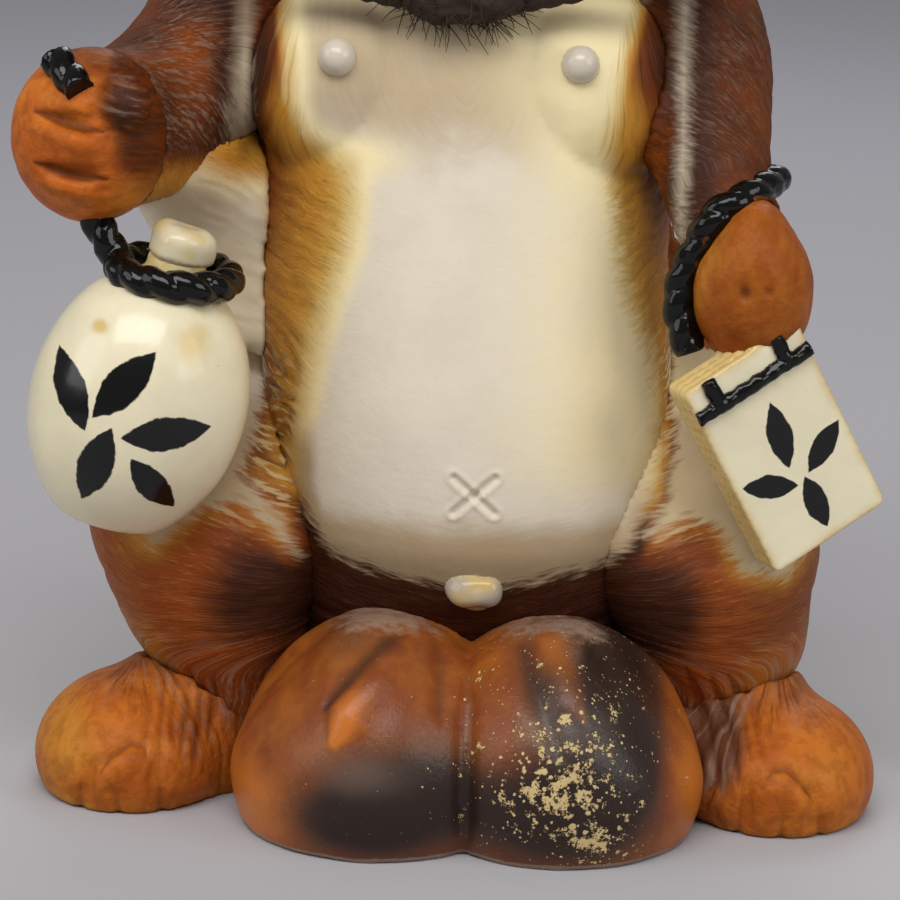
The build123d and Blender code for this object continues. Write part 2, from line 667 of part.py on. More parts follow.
def bottle_egg(inset=0.0):
    """An egg on the bottle's axis, drawn in by a wall, with its foot cut flat."""
    foot = bottle_plane()
    radius = BOTTLE_RADIUS - inset
    half_height = BOTTLE_HALF_HEIGHT - inset
    with BuildPart() as egg:
        Sphere(half_height)
        scale(by=(radius / half_height, radius / half_height, 1))
        split(bisect_by=Plane.XY.offset(inset - bottle_belly()), keep=Keep.TOP)
    return egg.part.moved(Location(foot.offset(bottle_belly())))


def make_bottle():
    """The bottle as a full solid with its neck, the hollow inside it, and its stopper."""
    with BuildPart() as neck:
        with BuildSketch(bottle_plane(bottle_top() - BOTTLE_WALL)):
            Circle(BOTTLE_NECK_RADIUS)
        extrude(amount=BOTTLE_WALL + BOTTLE_NECK_LENGTH)
    top = bottle_plane(bottle_top() + BOTTLE_NECK_LENGTH)
    with BuildPart() as stopper:
        with BuildSketch(top):
            Circle(STOPPER_RADIUS)
        extrude(amount=STOPPER_LENGTH)
        fillet(stopper.faces().sort_by(Axis(top.origin, top.z_dir))[-1].edges(), STOPPER_ROUNDING)
    return joined(bottle_egg(), neck.part), bottle_egg(BOTTLE_WALL), stopper.part


def make_bottle_cords():
    """The cord looped about the bottle's neck and up to the fist, and the cord's end above the fist."""
    ring = bottle_plane(bottle_top()).rotated((BOTTLE_LOOP_SAG, BOTTLE_LOOP_TURN, 0))
    with BuildPart() as loop:
        with Locations(ring):
            Torus(BOTTLE_LOOP_RADIUS, CORD_RADIUS)
    outer_side = ring.from_local_coords((-BOTTLE_LOOP_RADIUS, 0, 0))
    rise = RIGHT_FIST - Vector(BOTTLE_CORD_OUT, 0, 0) - outer_side
    strand = rod(outer_side + rise / 2, rise, CORD_RADIUS, rise.length)
    across = (CORD_END_ASIDE / RIGHT_FIST_HALF_WIDTH) ** 2 + (CORD_END_RISE / RIGHT_FIST_HALF_HEIGHT) ** 2
    place = Vector(-CORD_END_ASIDE, -RIGHT_FIST_HALF_DEPTH * sqrt(1 - across), CORD_END_RISE)
    end = rod(RIGHT_FIST + place, CORD_END_RUN, CORD_RADIUS, CORD_END_LENGTH)
    return {"bottle_cord": joined(loop.part, strand), "bottle_cord_end": end}


def book_plane():
    """The book's cover, with x across it, y up it, z out of it and its middle at the origin."""
    turn, tilt = radians(BOOK_TURN), radians(BOOK_TILT)
    outward = Vector(sin(turn), -cos(turn), 0)
    level = Vector(cos(turn), sin(turn), 0)
    return Plane(origin=(BOOK_OUT, -BOOK_FORWARD, BOOK_HEIGHT),
                 x_dir=level * cos(tilt) + Vector(0, 0, sin(tilt)), z_dir=outward)


def make_book():
    """The account book with grooves between its pages, and the cord bound over its cover."""
    cover = book_plane()
    with BuildPart() as block:
        with BuildSketch(cover):
            RectangleRounded(BOOK_WIDTH, BOOK_LENGTH, BOOK_CORNER_RADIUS)
        extrude(amount=-BOOK_THICKNESS)
        for page in range(1, PAGE_GROOVE_COUNT + 1):
            depth = page * BOOK_THICKNESS / (PAGE_GROOVE_COUNT + 1)
            with BuildSketch(cover.offset(-depth)):
                Rectangle(2 * BOOK_WIDTH, 2 * BOOK_LENGTH)
                Rectangle(BOOK_WIDTH - 2 * PAGE_GROOVE_DEPTH, BOOK_LENGTH - 2 * PAGE_GROOVE_DEPTH,
                          mode=Mode.SUBTRACT)
            extrude(amount=PAGE_GROOVE_WIDTH / 2, both=True, mode=Mode.SUBTRACT)
    line = BOOK_LENGTH / 2 - BINDING_INSET
    bars = [rod(cover.from_local_coords((0, line, 0)), cover.x_dir, BINDING_RADIUS, BOOK_WIDTH)]
    for x in (-BINDING_STUB_SPACING / 2, BINDING_STUB_SPACING / 2):
        middle = cover.from_local_coords((x, line + BINDING_STUB_LENGTH / 2, 0))
        bars.append(rod(middle, cover.y_dir, BINDING_RADIUS, BINDING_STUB_LENGTH))
    return block.part, joined(*bars)


def corner_radii(points):
    """The largest easy arc at each corner of a cord's route."""
    radii = []
    for before, here, after in zip(points, points[1:], points[2:]):
        run_in = Vector(here) - Vector(before)
        run_out = Vector(after) - Vector(here)
        turn = radians(run_in.get_angle(run_out))
        radii.append(CORD_ARC_SHARE * min(run_in.length, run_out.length) / tan(turn / 2))
    return radii


def cord(name, points, radius):
    """A round cord along straight runs joined by tangent arcs."""
    radii = corner_radii(points)
    with BuildPart() as tube:
        with BuildLine() as route:
            FilletPolyline(*points, radius=radii)
        path = route.wire()
        with BuildSketch(Plane(origin=path @ 0, z_dir=path % 0)):
            Circle(radius)
        sweep(path=path)
    share = tube.part.volume / (pi * radius**2 * path.length)
    print(f"{name}: {path.length:.1f} mm long, volume {share:.3f} of section times length, bends",
          *(f"{bend:.0f}" for bend in radii))
    return tube.part


def make_book_cord():
    """The moulded cord over the left wrist and down the inner side of the fist, as a full tube."""
    wrist = LEFT_WRIST + Vector(LEFT_WRIST_RADIUS, -LEFT_WRIST_RADIUS - BOOK_CORD_SINK, 0)
    fist = LEFT_FIST - Vector(LEFT_FIST_HALF_WIDTH + BOOK_CORD_SINK, 0, 0)
    points = [wrist + Vector(*step) for step in BOOK_CORD_ON_WRIST]
    points += [fist + Vector(*step) for step in BOOK_CORD_ON_FIST]
    return cord("book_cord", points, CORD_RADIUS)


def make_chin_cord():
    """The two halves of the chin cord and its knot, as full solids."""
    knot_y = torso_front(NECK_SWAY, CHIN_KNOT_HEIGHT) - CHIN_KNOT_HALF_DEPTH + CHIN_KNOT_SEAT
    knot = ellipsoid((NECK_SWAY, knot_y, CHIN_KNOT_HEIGHT), CHIN_KNOT_HALF_WIDTH, CHIN_KNOT_HALF_DEPTH,
                     CHIN_KNOT_HALF_HEIGHT)
    tubes = {}
    for side, sign in SIDES:
        points = [SKULL + Vector(sign * x, y, z) for x, y, z in CHIN_CORD_ROUTE]
        tubes[f"{side}_chin_cord"] = cord(f"{side}_chin_cord", points, CHIN_CORD_RADIUS)
    return tubes, knot


def hat_plane():
    """The plane of the hat's rim, with z out of its crown."""
    tilt = radians(HAT_TILT)
    axis = Vector(0, sin(tilt), cos(tilt))
    return Plane(origin=SKULL + axis * (SKULL_RADIUS - HAT_SEAT_DEPTH), x_dir=(1, 0, 0), z_dir=axis)


def spun_on_hat(*points):
    """A solid turned on the hat's axis from a profile of (radius, height) points."""
    rim = hat_plane()
    with BuildPart() as solid:
        with BuildSketch(Plane(origin=rim.origin, x_dir=rim.x_dir, z_dir=-rim.y_dir)):
            with BuildLine():
                Polyline(*points, close=True)
            make_face()
        revolve(axis=Axis(rim.origin, rim.z_dir))
    return solid.part


def make_hat():
    """The straw cone, its rim hoop, head ring, ribs and crown button."""
    rim = hat_plane()
    slope = HAT_DEPTH / HAT_RADIUS
    under = HAT_RING_RADIUS - HAT_RING_WIDTH
    cone = spun_on_hat((0, HAT_DEPTH), (HAT_RADIUS, 0), (HAT_RADIUS, HAT_THICKNESS),
                       (0, HAT_DEPTH + HAT_THICKNESS))
    filled = spun_on_hat((0, 0), (HAT_RADIUS, 0), (HAT_RADIUS, HAT_THICKNESS),
                         (0, HAT_DEPTH + HAT_THICKNESS))
    ring = spun_on_hat((under, HAT_DEPTH - slope * under), (under, 0), (HAT_RING_RADIUS, 0),
                       (HAT_RING_RADIUS, HAT_DEPTH - slope * HAT_RING_RADIUS))
    seat = ellipsoid(SKULL, SKULL_HALF_WIDTH + HAT_CLEARANCE, SKULL_RADIUS + HAT_CLEARANCE,
                     SKULL_RADIUS + HAT_CLEARANCE)
    with BuildPart() as hoop:
        with Locations(rim):
            Torus(HAT_RADIUS, HAT_HOOP_RADIUS)
        add(filled, mode=Mode.SUBTRACT)
    button = ball(rim.from_local_coords((0, 0, HAT_DEPTH)), HAT_BUTTON_RADIUS)
    crown = cut(button, filled)
    with BuildPart() as ribs:
        for turn in range(HAT_RIB_COUNT):
            angle = 2 * pi * (turn + 0.5) / HAT_RIB_COUNT
            start = rim.from_local_coords((0, 0, HAT_DEPTH + HAT_THICKNESS))
            end = rim.from_local_coords((HAT_RADIUS * cos(angle), HAT_RADIUS * sin(angle), HAT_THICKNESS))
            run = end - start
            across = run.cross(rim.z_dir)
            with Locations(Plane(origin=start + run / 2, x_dir=run, z_dir=across.cross(run))):
                Box(run.length, HAT_RIB_WIDTH, 2 * HAT_RIB_THICKNESS)
        add(filled, mode=Mode.SUBTRACT)
        add(hoop.part, mode=Mode.SUBTRACT)
        add(button, mode=Mode.SUBTRACT)
    return {"hat_cone": cone, "hat_rim_hoop": hoop.part, "hat_head_ring": cut(ring, seat),
            "hat_ribs": ribs.part, "hat_button": crown}


def make_pieces():
    """Every piece of the tanuki by name, each cut to what carries it."""
    torso, torso_hollow = make_torso()
    head, head_hollow = make_head()
    pouch, pouch_hollow = make_pouch()
    bottle, bottle_hollow, stopper = make_bottle()
    book, binding = make_book()
    arms = make_arms()
    right_fist = cut(make_right_fist(), torso)
    left_fist = cut(make_left_fist(), torso)
    pieces = {}
    pieces["torso_front_shell"], pieces["torso_back_shell"] = halves(cut(torso, torso_hollow))
    pieces.update(make_seam_coils(torso_hollow))
    for name, lump in make_chest_pieces().items():
        pieces[name] = cut(lump, torso, pouch)
    pieces["head_face_shell"], pieces["head_back_shell"] = halves(cut(head, head_hollow))
    for name, lump in make_face_pieces().items():
        pieces[name] = cut(lump, head)
    pieces["pouch_shell"] = cut(pouch, pouch_hollow, torso)
    legs = {}
    for side, sign in SIDES:
        leg, leg_hollow = make_leg(sign)
        legs[side] = leg
        pieces[f"{side}_leg"] = cut(leg, leg_hollow, torso, pouch)
        pieces[f"{side}_foot"] = cut(make_foot(sign), leg, pouch, torso)
    pieces["tail"] = cut(make_tail(), torso)
    pieces["right_fist"] = right_fist
    pieces["left_fist"] = left_fist
    pieces["right_arm"] = cut(arms["right_arm"], torso, head, right_fist, legs["right"])
    pieces["left_arm"] = cut(arms["left_arm"], torso, head, left_fist, legs["left"])
    pieces["neck_coil"] = cut(make_neck_coil(), torso, head, pieces["right_arm"], pieces["left_arm"])
    right_side = (torso, legs["right"], pieces["right_fist"], pieces["right_arm"])
    pieces["right_web"] = cut(make_web(), *right_side)
    right_side += (pieces["right_web"],)
    left_side = (torso, legs["left"], pieces["left_fist"], pieces["left_arm"])
    pieces["bottle"] = cut(bottle, bottle_hollow, *right_side)
    pieces["bottle_stopper"] = cut(stopper, *right_side)
    for name, lump in make_bottle_cords().items():
        pieces[name] = cut(lump, bottle, stopper, *right_side)
    pieces["account_book"] = cut(book, *left_side)
    pieces["book_binding"] = cut(binding, book, *left_side)
    pieces["book_cord"] = cut(make_book_cord(), book, *left_side)
    tubes, knot = make_chin_cord()
    pieces["chin_knot"] = cut(knot, torso)
    for name, tube in tubes.items():
        pieces[name] = cut(tube, knot)
    pieces.update(make_hat())
    return pieces


def main():
    os.makedirs("parts", exist_ok=True)
    pieces = make_pieces()
    boxes = [piece.bounding_box() for piece in pieces.values()]
    middle_x = (min(box.min.X for box in boxes) + max(box.max.X for box in boxes)) / 2
    middle_y = (min(box.min.Y for box in boxes) + max(box.max.Y for box in boxes)) / 2
    centring = Location((-middle_x, -middle_y, 0))
    print("moved by", centring.position)
    for name, piece in pieces.items():
        placed = piece.moved(centring)
        placed.label = name
        export_step(placed, f"parts/{name}.step")


main()
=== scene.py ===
"""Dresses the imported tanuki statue: glazed clay, moulded ropes, straw hat, palm-fibre chin cord and stage."""

import math
from itertools import product

import bmesh
import bpy
import numpy as np
from mathutils import Matrix, Vector
from mathutils.bvhtree import BVHTree


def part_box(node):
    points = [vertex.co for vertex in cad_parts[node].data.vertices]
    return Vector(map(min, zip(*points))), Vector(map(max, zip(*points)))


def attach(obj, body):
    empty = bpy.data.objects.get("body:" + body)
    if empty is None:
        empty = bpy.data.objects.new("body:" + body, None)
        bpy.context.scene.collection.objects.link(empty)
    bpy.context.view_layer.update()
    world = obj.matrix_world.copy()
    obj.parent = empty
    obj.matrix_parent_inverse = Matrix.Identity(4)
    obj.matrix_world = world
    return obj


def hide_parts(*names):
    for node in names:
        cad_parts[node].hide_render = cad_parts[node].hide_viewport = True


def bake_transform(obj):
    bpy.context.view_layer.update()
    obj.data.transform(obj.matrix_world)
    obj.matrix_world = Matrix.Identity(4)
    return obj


bl_info = {
    "name": "Tanuki Statue",
    "version": (1, 0, 0),
    "blender": (4, 5, 0),
    "location": "View3D > Sidebar > Tanuki",
    "description": "Dresses a stoneware tanuki with glazes, combed fur, ropes and a straw hat",
    "category": "Object",
}

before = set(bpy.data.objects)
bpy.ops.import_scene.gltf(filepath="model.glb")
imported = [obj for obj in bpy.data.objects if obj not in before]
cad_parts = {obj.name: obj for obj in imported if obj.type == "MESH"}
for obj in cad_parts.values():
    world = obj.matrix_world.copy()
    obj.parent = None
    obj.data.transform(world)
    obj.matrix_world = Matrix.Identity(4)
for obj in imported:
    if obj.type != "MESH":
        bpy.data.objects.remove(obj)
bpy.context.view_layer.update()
MM = 0.001
SIDES = (("right", -1), ("left", 1))

# Outlines of the cream glaze in millimetres in the row frame, as (x, z) seen from the front
BELLY = (
    (-66, 335), (-67, 296), (-64, 277), (-63, 262), (-58, 251), (-49, 245), (-41, 238), (-38, 227),
    (-40, 209), (-47, 190), (-52, 171), (-55, 151), (-58, 135), (-58, 120), (-54, 109), (-47, 98), (-36, 93),
    (-17, 91), (-3, 89), (8, 85), (19, 88), (34, 90), (58, 95), (68, 103), (74, 117), (77, 133), (76, 151),
    (72, 170), (63, 190), (56, 227), (54, 248), (56, 262), (58, 280), (63, 298), (66, 335),
)
RIGHT_WEB = (
    (-89, 335), (-82, 300), (-80, 259), (-81, 217), (-77, 186), (-74, 160), (-74, 144), (-76, 131),
    (-80, 122), (-72, 116), (-64, 107), (-56, 92), (-61, 97), (-69, 106), (-79, 113), (-94, 109), (-111, 97),
    (-128, 110), (-134, 150), (-124, 205), (-106, 226), (-93, 240), (-88, 262), (-88, 300), (-94, 335),
)
LEFT_WEB = (
    (82, 335), (80, 300), (81, 265), (81, 229), (80, 190), (81, 160), (83, 140), (81, 119), (73, 106),
    (79, 108), (89, 113), (101, 108), (108, 96), (127, 90), (146, 112), (125, 180), (96, 196), (86, 232),
    (86, 265), (86, 300), (88, 335),
)
NAVEL = (9.37, -87.0, 125.0)
# The head and the hat in millimetres
SKULL = Vector((-0.626, 10.052, 392.0))
HAT_AXIS = Vector((0, math.sin(math.radians(55)), math.cos(math.radians(55))))
HAT_RIM = SKULL + HAT_AXIS * 59.0
HAT_RADIUS, HAT_HEIGHT = 112.0, 52.0
HAT_ROWS, HAT_SIDES = 16, 192
# The left half of the chin cord's route in the row frame, in metres, with x from the middle of the head
CHIN_ROUTE = (
    (0.0813, 0.05785, 0.4255), (0.096, 0.03805, 0.406), (0.105, 0.01205, 0.386), (0.106, -0.01395, 0.362),
    (0.098, -0.03595, 0.338), (0.076, -0.05195, 0.320), (0.050, -0.05895, 0.308), (0.022, -0.05295, 0.302),
)
# The moulded ropes in the row frame, in millimetres
ROPE_RADIUS = 6.3
CORD_IN_FIST = np.array((-149.626, -65.948, 249.5))
LOOP_RADIUS = 20.0
LOOP_MIDDLE = np.array((-102.532, -75.948, 201.29))
LOOP_ACROSS = np.array((0.9925, 0.0, -0.1219))
LOOP_BACK = np.array((0.0085, 0.9976, 0.0692))
CORD_END_MIDDLE = np.array((-140.126, -84.96, 273.5))
CORD_END_RUN = np.array((-0.57, 0.64, 0.53))
CORD_END_LENGTH = 19.0
BOOK_CORD = (
    (116.374, -41.948, 238.0), (108.374, -65.698, 236.0), (93.374, -72.698, 229.0), (88.624, -69.698, 218.0),
    (81.624, -67.948, 203.0), (81.624, -69.948, 189.0), (86.624, -71.948, 177.0),
)
# Furrows over the ankles and creases above the toes, as (x, z) seen from the front
FURROWS = {
    "right": [
        [(-112, 44), (-109, 36), (-110, 27)], [(-107, 47), (-105, 36), (-104, 22), (-105, 15)],
        [(-102, 46), (-101, 33), (-99, 24)], [(-97, 48), (-96, 34), (-97, 20)],
        [(-93, 44), (-91, 30), (-92, 15)], [(-88, 46), (-87, 34), (-88, 22)],
    ],
    "left": [
        [(90, 57), (94, 42), (97, 30)], [(93, 52), (99, 34), (104, 15)], [(99, 56), (102, 44), (106, 33)],
        [(103, 46), (108, 32), (110, 18)], [(106, 54), (112, 40), (114, 28)],
        [(112, 48), (116, 38), (119, 27)],
    ],
}
TOES = {
    "right": [(-126, 16), (-122, 23), (-115, 27.5), (-110, 26), (-109, 22)],
    "left": [(120, 23), (122, 26), (127, 27), (133, 22), (138, 14)],
}
# The pouch's middle line, and its folds: a line (x, z), a width and a depth, negative where it is raised
POUCH_MIDDLE = 9.4
POUCH_FOLDS = (
    ([(-6, 81), (-15, 77), (-28, 68), (-41, 54)], 4.8, 2.8),
    ([(-13, 72), (-21, 67), (-30, 58), (-37, 44)], 6.4, -3.2), ([(-2, 76), (0, 64), (1, 50)], 3.6, 1.6),
    ([(24, 79), (30, 70), (38, 56), (44, 42)], 4.4, 2.0), ([(34, 78), (44, 68), (52, 54)], 6.0, -1.8),
    ([(52, 77), (60, 68), (66, 56)], 4.0, 1.6), ([(9.6, 70), (10, 56), (10.4, 38), (11, 0)], 3.0, 1.6),
)
# Creases between the right fist's fingers, and dents in the left fist: a place, a width and a depth
FINGERS = (
    [(-152, 260.5), (-144, 259.5), (-135, 257), (-126, 254.5)],
    [(-152, 242), (-144, 240), (-135, 238), (-125, 237)],
)
LEFT_FIST_X, LEFT_FIST_Z = 108.4, 203
DENTS = (
    (104, -93, 203, 3.4, 2.4), (113, -91, 204, 2.2, 1.6), (122, -84, 206, 2.0, 1.3),
    (100, -90, 184, 5.0, 1.2),
)
# The arms: middle line, slant of the strokes, inner edge of the fur, wear, and soil with painted shade
ARMS = {
    "right": ([(-90, 14, 310), (-107, -16, 266), (-135, -66, 249.5)], 0.8, 84, 0.9, 0.55),
    "left": ([(86, 14, 310), (89, -16, 262), (95, -48, 232), (108, -68, 203)], -0.8, 81.5, 0.45, 0.35),
}
# Leaf marks on the bottle and the book: place across and up, turn in degrees, length and width, in metres
BOTTLE_FOOT = np.array((-127.126, -75.948, 109.5))
BOTTLE_LEAVES = (
    (-0.004, 0.014, 62, 0.0160, 0.0058), (-0.022, 0.006, 128, 0.0150, 0.0055),
    (0.015, 0.001, 20, 0.0155, 0.0055), (-0.006, -0.017, 262, 0.0155, 0.0058),
    (0.015, -0.019, 318, 0.0125, 0.0048),
)
BOOK_MIDDLE = Vector((122.574, -83.048, 144.7))
BOOK_LEAVES = (
    (0.0, 0.006, 80, 0.0130, 0.0044), (0.013, -0.007, 30, 0.0110, 0.0040),
    (-0.012, -0.009, 150, 0.0110, 0.0040), (0.001, -0.024, 268, 0.0110, 0.0041),
)
# Area lights: place, width and depth in metres, and power in watts
LIGHTS = {
    "key_light": ((-0.25, -1.5, 2.2), 2.4, 1.0, 48.0),
    "left_light": ((-1.9, -0.9, 1.1), 1.2, 1.2, 11.0),
    "right_light": ((1.9, -1.2, 1.1), 1.2, 1.2, 17.0),
    "back_light": ((0.3, 1.9, 1.9), 1.4, 1.4, 16.0),
    "backdrop_light": ((0.0, 3.6, 2.2), 4.0, 2.0, 20.0),
}
DRESSED = "dressed_"
PIECES = {}
TREES = {}


def colour(label, rgb, words):
    """A colour property."""
    return bpy.props.FloatVectorProperty(
        name=label, description=words, subtype="COLOR", size=3, min=0, max=1, default=rgb)


def length(label, metres, words):
    """A length property."""
    return bpy.props.FloatProperty(name=label, description=words, unit="LENGTH", min=0, default=metres)


def spot(label, metres, words):
    """A property for a place."""
    return bpy.props.FloatVectorProperty(
        name=label, description=words, subtype="XYZ", unit="LENGTH", default=metres)


class TanukiGlazes(bpy.types.PropertyGroup):
    """The colours of the glazes, straw and fibre."""
    cream: colour("Cream", (0.71, 0.63, 0.505), "Belly and web glaze")
    # Butter also lightens the statue's left of the belly and its web, as painted light
    butter: colour("Butter", (0.864, 0.7344, 0.43), "Yellowed cream at the belly's edge")
    ochre: colour("Ochre", (0.60, 0.40, 0.10), "Yellow stain beside the belly")
    amber: colour("Amber", (0.50, 0.225, 0.028), "Light combed fur")
    rust: colour("Rust", (0.265, 0.054, 0.006), "Middle combed fur")
    umber: colour("Umber", (0.040, 0.010, 0.003), "Dark combed fur")
    plum: colour("Plum", (0.036, 0.020, 0.016), "Purple-black shading")
    dust: colour("Dust", (0.36, 0.25, 0.185), "Dry pale edges")
    paw: colour("Paw", (0.50, 0.145, 0.018), "Feet and fists")
    pouch: colour("Pouch", (0.20, 0.045, 0.009), "Pouch")
    flake: colour("Flake", (0.58, 0.43, 0.20), "Flaked spots on the pouch")
    # The web colour also serves as painted shade on the cream between the limbs and at the bottom of the belly
    web: colour("Web", (0.40, 0.285, 0.155), "Soiled cream between the limbs")
    ivory: colour("Ivory", (0.80, 0.72, 0.50), "Bottle and book")
    black: colour("Black", (0.0030, 0.0028, 0.0026), "Ropes and brush marks")
    clay: colour("Clay", (0.42, 0.29, 0.19), "Bare clay")
    straw: colour("Straw", (0.48, 0.33, 0.13), "Hat")
    bamboo: colour("Bamboo", (0.33, 0.19, 0.075), "Hat ribs and hoop")
    fibre: colour("Palm fibre", (0.034, 0.016, 0.006), "Chin cord")


class TanukiSizes(bpy.types.PropertyGroup):
    """The sizes of the surface detail."""
    step: length("Clay mesh", 0.0017, "Edge length of the torso's mesh")
    tuft: length("Fur tuft", 0.0045, "Spacing of the combed tufts")
    tuft_height: length("Tuft height", 0.0007, "Depth of the combed tufts")
    rope_pitch: length("Rope lay", 0.021, "Length of one turn of the moulded ropes' strands")
    cord_diameter: length("Chin cord", 0.010, "Thickness of the palm-fibre cord")
    cord_length: length("Chin cord length", 0.220, "Length of each half of the chin cord")
    fibres: bpy.props.IntProperty(name="Fibres", description="Stray fibres on the knot", min=0, default=260)


class TanukiStage(bpy.types.PropertyGroup):
    """The camera and the floor."""
    eye: spot("Eye", (0.041380, -1.269168, 0.414189), "Place of the camera")
    target: spot("Target", (-0.001126, -0.051948, 0.133), "Point in the middle of the picture")
    roll: bpy.props.FloatProperty(
        name="Roll", description="Turn of the camera about its line of sight", subtype="ANGLE",
        default=math.radians(1.5))
    lens: bpy.props.FloatProperty(name="Lens", description="Focal length in millimetres", default=133.3)
    near_floor: colour("Near floor", (0.435, 0.423, 0.435), "Floor about the object")
    far_floor: colour("Far floor", (0.335, 0.335, 0.385), "Floor in the distance")


class Tone:
    """A shader socket that takes part in Python expressions."""

    def __init__(self, finish, socket):
        self.finish = finish
        self.socket = socket

    def math(self, operation, *values):
        return self.finish.node("ShaderNodeMath", {"operation": operation}, dict(enumerate(values)))

    def __add__(self, other):
        return self.math("ADD", self, other)

    def __sub__(self, other):
        return self.math("SUBTRACT", self, other)

    def __rsub__(self, other):
        return self.math("SUBTRACT", other, self)

    def __mul__(self, other):
        return self.math("MULTIPLY", self, other)

    def __truediv__(self, other):
        return self.math("DIVIDE", self, other)

    def __abs__(self):
        return self.math("ABSOLUTE", self)

    def most(self, other):
        return self.math("MAXIMUM", self, other)

    __radd__ = __add__
    __rmul__ = __mul__


class Finish:
    """A material whose nodes are written as expressions."""

    def __init__(self, name, roughness, **constants):
        self.material = bpy.data.materials.new(name)
        self.material.use_nodes = True
        self.tree = self.material.node_tree
        self.shader = self.tree.nodes["Principled BSDF"]
        self.shader.inputs["Roughness"].default_value = roughness
        for socket, value in constants.items():
            self.shader.inputs[socket.replace("_", " ")].default_value = value

    def node(self, kind, settings=None, inputs=None, output=0):
        """A node of a type, with its settings and the values or links of its sockets, as its output."""
        made = self.tree.nodes.new(kind)
        for key, value in (settings or {}).items():
            setattr(made, key, value)
        for key, value in (inputs or {}).items():
            if isinstance(value, Tone):
                self.tree.links.new(value.socket, made.inputs[key])
            else:
                made.inputs[key].default_value = value
        return Tone(self, made.outputs[output])

    def place(self):
        """Object coordinates in metres."""
        return self.node("ShaderNodeTexCoord", output="Object")

    def masks(self, *names):
        """Numbers stored on the mesh."""
        return [self.node("ShaderNodeAttribute", {"attribute_name": name}, output="Fac") for name in names]

    def flow(self):
        """The fur's own coordinates: across its strokes and along them, in millimetres."""
        return self.node("ShaderNodeAttribute", {"attribute_name": "flow"}, output="Vector")

    def noise(self, vector, size, detail=2.0, roughness=0.5):
        """Noise from 0 to 1 with features of a size in the vector's own units."""
        return self.node("ShaderNodeTexNoise", None, {
            "Vector": vector, "Scale": 1 / size, "Detail": detail, "Roughness": roughness})

    def cells(self, vector, size):
        """Distance to the nearest of scattered points."""
        return self.node("ShaderNodeTexVoronoi", None, {"Vector": vector, "Scale": 1 / size})

    def vector(self, operation, first, second=(0, 0, 0), output="Value"):
        """A sum on vectors."""
        return self.node("ShaderNodeVectorMath", {"operation": operation}, {0: first, 1: second}, output)

    def ease(self, value, low, high):
        """A smooth step from 0 at low to 1 at high."""
        return self.node("ShaderNodeMapRange", {"interpolation_type": "SMOOTHSTEP"},
                         {0: value, 1: low, 2: high, 3: 0.0, 4: 1.0})

    def mix(self, share, first, second):
        """A colour between two colours."""
        first, second = ((*c, 1) if not isinstance(c, Tone) else c for c in (first, second))
        return self.node("ShaderNodeMix", {"data_type": "RGBA"}, {0: share, 6: first, 7: second}, output=2)

    def under(self, tint, *layers):
        """A colour under layers, each a share and a colour, or a value to ease, its two ends and these."""
        for *eased, share, layer in layers:
            tint = self.mix(self.ease(*eased) * share if eased else share, tint, layer)
        return tint

    def bump(self, height, distance, strength=1.0, below=None):
        """A normal bumped by a height, in metres."""
        inputs = {"Height": height, "Distance": distance, "Strength": strength}
        if below:
            inputs["Normal"] = below
        return self.node("ShaderNodeBump", None, inputs)

    def feed(self, **sockets):
        """Links values to the shader's sockets."""
        for socket, value in sockets.items():
            self.tree.links.new(value.socket, self.shader.inputs[socket.replace("_", " ")])
        return self.material


def glazes():
    return bpy.context.scene.tanuki_glazes


def sizes():
    return bpy.context.scene.tanuki_sizes


def scaled(value, share):
    """A colour made lighter or darker."""
    return tuple(min(1.0, part * share) for part in value)


def apply_modifier(piece, kind, **settings):
    """Adds a modifier to a piece and applies it."""
    bpy.ops.object.select_all(action="DESELECT")
    piece.select_set(True)
    bpy.context.view_layer.objects.active = piece
    modifier = piece.modifiers.new(kind.lower(), kind)
    for key, value in settings.items():
        setattr(modifier, key, value)
    bpy.ops.object.modifier_apply(modifier=modifier.name)


def apply_where(piece, chosen, kind, **settings):
    """Applies a modifier to the chosen points of a piece."""
    group = piece.vertex_groups.new(name="chosen")
    group.add(np.flatnonzero(chosen).tolist(), 1.0, "REPLACE")
    apply_modifier(piece, kind, vertex_group=group.name, **settings)
    piece.vertex_groups.clear()


def linked(name, mesh):
    """A new piece in the scene with a mesh."""
    piece = bpy.data.objects.new(DRESSED + name, mesh)
    bpy.context.scene.collection.objects.link(piece)
    return piece


def piece_from(name, vertices, faces):
    """A new piece from vertices in millimetres and faces."""
    mesh = bpy.data.meshes.new(name)
    mesh.from_pydata([tuple(v) for v in np.asarray(vertices) * MM], [], [tuple(f) for f in faces])
    mesh.update()
    return linked(name, mesh)


def soften(piece, step, rounds):
    """Gives a piece an even mesh and eased edges, as soft clay has."""
    apply_modifier(piece, "REMESH", mode="VOXEL", voxel_size=step)
    apply_modifier(piece, "SMOOTH", factor=0.5, iterations=rounds)
    return piece


def skin(name, step, rounds, *nodes):
    """A piece of soft clay from the merged meshes of CAD nodes, or of the node of its own name."""
    form = bmesh.new()
    for node in nodes or [name]:
        form.from_mesh(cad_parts[node].data)
    bmesh.ops.remove_doubles(form, verts=form.verts, dist=1e-6)
    mesh = bpy.data.meshes.new(name)
    form.to_mesh(mesh)
    form.free()
    mesh.materials.clear()
    return soften(linked(name, mesh), step, rounds)


def vertex_rows(piece, key):
    """A vector of each of a piece's vertices, in rows."""
    flat = np.empty(len(piece.data.vertices) * 3)
    piece.data.vertices.foreach_get(key, flat)
    return flat.reshape(-1, 3)


def points_of(piece):
    """The piece's points in millimetres."""
    return vertex_rows(piece, "co") / MM


def normals_of(piece):
    return vertex_rows(piece, "normal")


def set_points(piece, points):
    piece.data.vertices.foreach_set("co", (np.asarray(points) * MM).ravel())
    piece.data.update()


def push(piece, amount):
    """Moves a piece's points along their normals, in millimetres."""
    set_points(piece, points_of(piece) + normals_of(piece) * amount[:, None])


